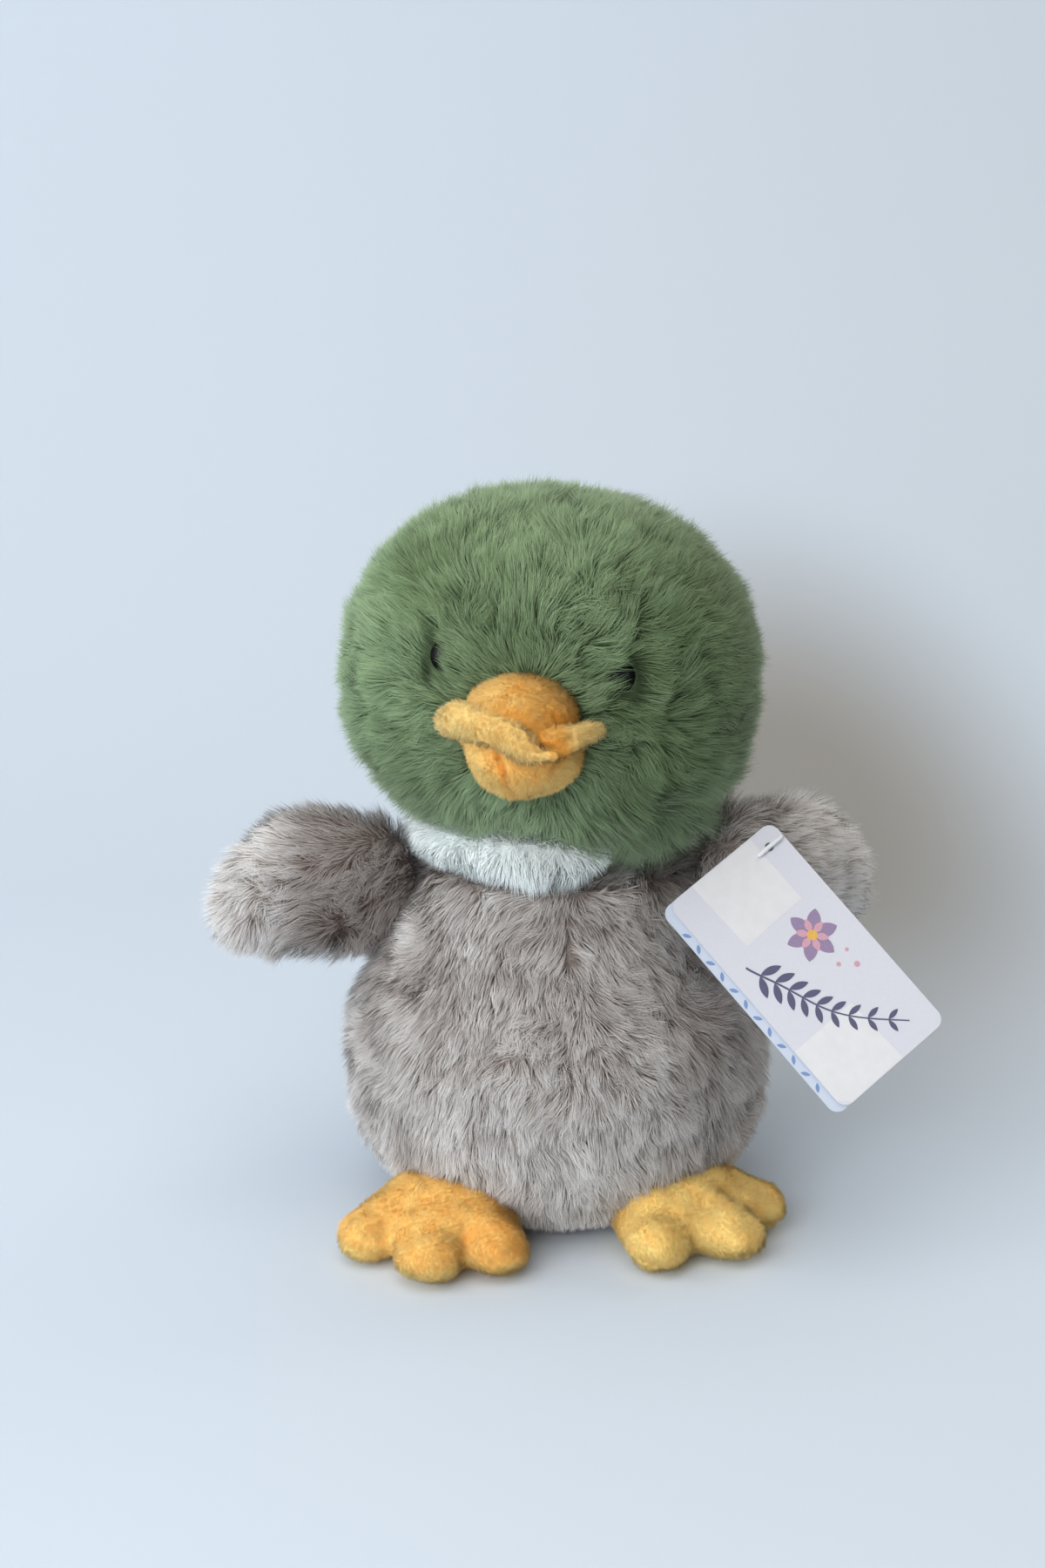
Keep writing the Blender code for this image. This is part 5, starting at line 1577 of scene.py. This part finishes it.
def build_label():
    """Make the blank ribbon label behind the base, softly curled."""
    made = bmesh.new()
    layers = []
    for facing in (1, -1):
        layer = []
        for row in range(LABEL_ROWS + 1):
            along = LABEL_REACH[0] + (LABEL_REACH[1] - LABEL_REACH[0]) * row / LABEL_ROWS
            thick = LABEL_HALF_THICKNESS * (1 - 0.7 * (row in (0, LABEL_ROWS)))
            line = []
            for column in range(LABEL_COLUMNS + 1):
                aside = LABEL_WIDTH * column / LABEL_COLUMNS - LABEL_WIDTH / 2
                bend = 0.00035 * math.sin(along * 260 + aside * 120)
                line.append(made.verts.new((aside, along, bend + facing * thick)))
            layer.append(line)
        layers.append(layer)
        for near, far in zip(layer, layer[1:]):
            for column in range(LABEL_COLUMNS):
                corners = [near[column], near[column + 1], far[column + 1], far[column]]
                made.faces.new(corners[::facing])
    rim = [(0, c) for c in range(LABEL_COLUMNS)] + [(r, LABEL_COLUMNS) for r in range(LABEL_ROWS)]
    rim += [(LABEL_ROWS, c) for c in range(LABEL_COLUMNS, 0, -1)] + [(r, 0) for r in range(LABEL_ROWS, 0, -1)]
    edges = [[layer[row][column] for layer in layers] for row, column in rim]
    for (upper, lower), (next_upper, next_lower) in zip(edges, edges[1:] + edges[:1]):
        made.faces.new((upper, lower, next_lower, next_upper))
    satin = weave_material("satin_weave", (226, 226, 222), (244, 244, 240), 900.0, 0.35, 0.3)
    finished("ribbon_label", made, [satin], label_frame(), "body", ["care_label"], rounded=True)


# Fillings

FIBRE = weave_material("polyester_fibre", (222, 222, 218), (246, 246, 243), 420.0, 0.9, 0.4)
POUCH = weave_material("pouch_weave", (196, 190, 178), (222, 216, 204), 600.0, 0.8, 0.2)
FILLING_GRAIN = 0.0012
FILLING_RELAXES = 6
BILL_FILLING_SHARE = 0.62
LUMP_HEIGHT = 0.00016


def filling_mesh(node):
    """Return the mesh that a filling starts from: its CAD solid, or for a bill a smaller copy of its cover."""
    if not node.startswith("bill"):
        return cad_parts[node].data.copy()
    lower = "lower" in node
    form = lower_bill_form() if lower else upper_bill_form()
    middle = np.array([0, -0.048, 0.030 if lower else 0.040])
    mesh = bpy.data.meshes.new(node)
    points = middle + (form["points"] - middle) * BILL_FILLING_SHARE
    mesh.from_pydata(points.tolist(), [], form["faces"].tolist())
    mesh.transform(HEAD_FRAME)
    return mesh


def build_fillings():
    """Make each filling as a smoother, lumpy copy of its CAD solid, kept inside it."""
    body_of = {
        "body_stuffing": "body", "pellet_pouch": "body", "head_stuffing": "head", "bill_upper_stuffing": "head",
        "bill_lower_stuffing": "head",
    }
    for side_name in SIDES:
        body_of[f"wing_{side_name}_stuffing"] = f"wing_{side_name}"
        body_of[f"foot_{side_name}_stuffing"] = f"foot_{side_name}"
    for index, (node, body) in enumerate(body_of.items()):
        pouch = node == "pellet_pouch"
        thing = add_object(f"filling_{node}", filling_mesh(node))
        solid = voxel_mesh(thing, FILLING_GRAIN, FILLING_RELAXES)
        thing.modifiers.clear()
        thing.data = solid
        points, normals = rows_of(solid.vertices, "co"), rows_of(solid.vertex_normals, "vector")
        lumps = (noise(points, 0.004 if pouch else 0.009, 900 + index) - 1.6) * LUMP_HEIGHT
        points += normals * lumps[:, None]
        solid.vertices.foreach_set("co", points.ravel())
        solid.update()
        solid.shade_smooth()
        solid.materials.clear()
        solid.materials.append(POUCH if pouch else FIBRE)
        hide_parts(node)
        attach(thing, body)


# Camera, light and floor

CAMERA_PLACE = (-0.0096, -0.5652, 0.2781)
CAMERA_PITCH = math.radians(74.0)
CAMERA_LENS = 50.0
CAMERA_FILM_HEIGHT = 36.0
FLOOR_HALF_WIDTH = 2.2
FLOOR_FRONT = -1.6
SWEEP_START = 0.25
SWEEP_RADIUS = 0.5
BACKDROP_TOP = 2.4
SWEEP_STEPS = 12
# Where a soft shadow of the duck is painted on the backdrop, in its own coordinates
PAINTED_SHADOW_MIDDLE = (0.10, 0.33, 0.01)
PAINTED_SHADOW_SIZE = (0.17, 0.36, 0.16)
# Each lamp's name, place, aim, size, watts and colour
LAMPS = (
    ("window", (-1.20, -0.55, 0.70), (0, 0, 0.10), 1.6, 11.5, (0.90, 0.97, 1.03)),
    ("front", (-0.50, -1.10, 0.60), (0, 0, 0.06), 0.9, 9.0, (0.98, 0.99, 1.0)),
    ("back", (0.95, 0.70, 0.60), (0.02, 0, 0.11), 0.8, 4.5, (1.0, 0.89, 0.74)),
    ("top", (-0.15, -0.22, 1.15), (0, 0, 0.06), 1.2, 5.8, (0.97, 0.99, 1.0)),
)
WORLD_COLOUR = (1.0, 0.90, 0.76, 1.0)
WORLD_STRENGTH = 0.26


def build_camera():
    """Make the camera, fitted to the photograph's view."""
    camera = add_object("camera", bpy.data.cameras.new("camera"))
    camera.data.lens = CAMERA_LENS
    camera.data.sensor_fit = "VERTICAL"
    camera.data.sensor_height = CAMERA_FILM_HEIGHT
    camera.data.clip_start = 0.01
    camera.location = CAMERA_PLACE
    camera.rotation_euler = (CAMERA_PITCH, 0, 0)
    bpy.context.scene.camera = camera


def backdrop_material():
    """Return the pale paper of the floor and backdrop: a soft shadow painted on it behind the duck, unseen from
    behind.
    """
    made, tree, shader = new_material("pale_paper_with_painted_shadow", {"Roughness": 0.9})
    place = add_node(tree, "TexCoord")
    shade = add_node(
        tree, "Mapping", {"Location": PAINTED_SHADOW_MIDDLE, "Scale": PAINTED_SHADOW_SIZE}, {"Vector": place.outputs["Object"]},
        vector_type="TEXTURE",
    )
    fade = add_node(tree, "TexGradient", feeds={"Vector": shade.outputs["Vector"]}, gradient_type="SPHERICAL")
    # Painted shadow: pale paper, darkening towards the shadow's middle
    stops = ((0.0, srgb(204, 214, 225)), (0.8, srgb(149, 145, 139)))
    tree.links.new(add_ramp(tree, fade.outputs["Fac"], stops, "EASE"), shader.inputs["Base Color"])
    behind = add_node(tree, "NewGeometry")
    clear = add_node(tree, "BsdfTransparent")
    seen = {0: behind.outputs["Backfacing"], 1: shader.outputs[0], 2: clear.outputs[0]}
    mix = add_node(tree, "MixShader", feeds=seen)
    tree.links.new(mix.outputs[0], tree.nodes["Material Output"].inputs["Surface"])
    return made


def build_floor():
    """Make the floor, which sweeps up into the backdrop."""
    shape = bmesh.new()
    profile = [(FLOOR_FRONT, 0.0), (SWEEP_START, 0.0)]
    for step in range(1, SWEEP_STEPS + 1):
        angle = QUARTER_TURN * step / SWEEP_STEPS
        across, up = math.sin(angle), 1 - math.cos(angle)
        profile.append((SWEEP_START + SWEEP_RADIUS * across, SWEEP_RADIUS * up))
    profile.append((SWEEP_START + SWEEP_RADIUS, BACKDROP_TOP))
    rows = [[shape.verts.new((x, y, z)) for x in (-FLOOR_HALF_WIDTH, FLOOR_HALF_WIDTH)] for y, z in profile]
    for low, high in zip(rows, rows[1:]):
        shape.faces.new((low[0], low[1], high[1], high[0]))
    mesh = bpy.data.meshes.new("floor")
    shape.to_mesh(mesh)
    shape.free()
    mesh.shade_smooth()
    mesh.materials.append(backdrop_material())
    add_object("floor", mesh)


def build_world():
    """Make the world: soft warm light, and a pale background where it is seen."""
    world = bpy.data.worlds.new("studio")
    world.use_nodes = True
    tree = world.node_tree
    light = tree.nodes["Background"]
    light.inputs["Color"].default_value = WORLD_COLOUR
    light.inputs["Strength"].default_value = WORLD_STRENGTH
    seen = add_node(tree, "Background", {"Color": srgb(206, 217, 226)})
    path = add_node(tree, "LightPath")
    shows = path.outputs["Is Camera Ray"]
    for kind in ("Is Glossy Ray", "Is Transmission Ray"):
        either = add_node(tree, "Math", feeds={0: shows, 1: path.outputs[kind]}, operation="MAXIMUM")
        shows = either.outputs["Value"]
    mix = add_node(tree, "MixShader", feeds={0: shows, 1: light.outputs[0], 2: seen.outputs[0]})
    tree.links.new(mix.outputs[0], tree.nodes["World Output"].inputs["Surface"])
    bpy.context.scene.world = world


def build_stage():
    """Make the camera, the floor, the lamps and the world."""
    build_camera()
    build_floor()
    for name, place, aim, size, power, tint in LAMPS:
        lamp = bpy.data.lights.new(name, "AREA")
        lamp.shape = "DISK"
        lamp.size = size
        lamp.energy = power
        lamp.color = tint
        thing = add_object(name, lamp)
        thing.location = place
        thing.rotation_euler = (Vector(aim) - Vector(place)).to_track_quat("-Z", "Y").to_euler()
    build_world()
    bpy.context.scene.view_settings.view_transform = "Standard"


build_stage()
build_body()
build_collar()
build_head()
build_bill()
build_eyes()
for duck_side in SIDES:
    build_wing(duck_side)
    build_foot(duck_side)
build_tail()
build_card()
build_card_print()
build_fastener()
build_label()
build_fillings()
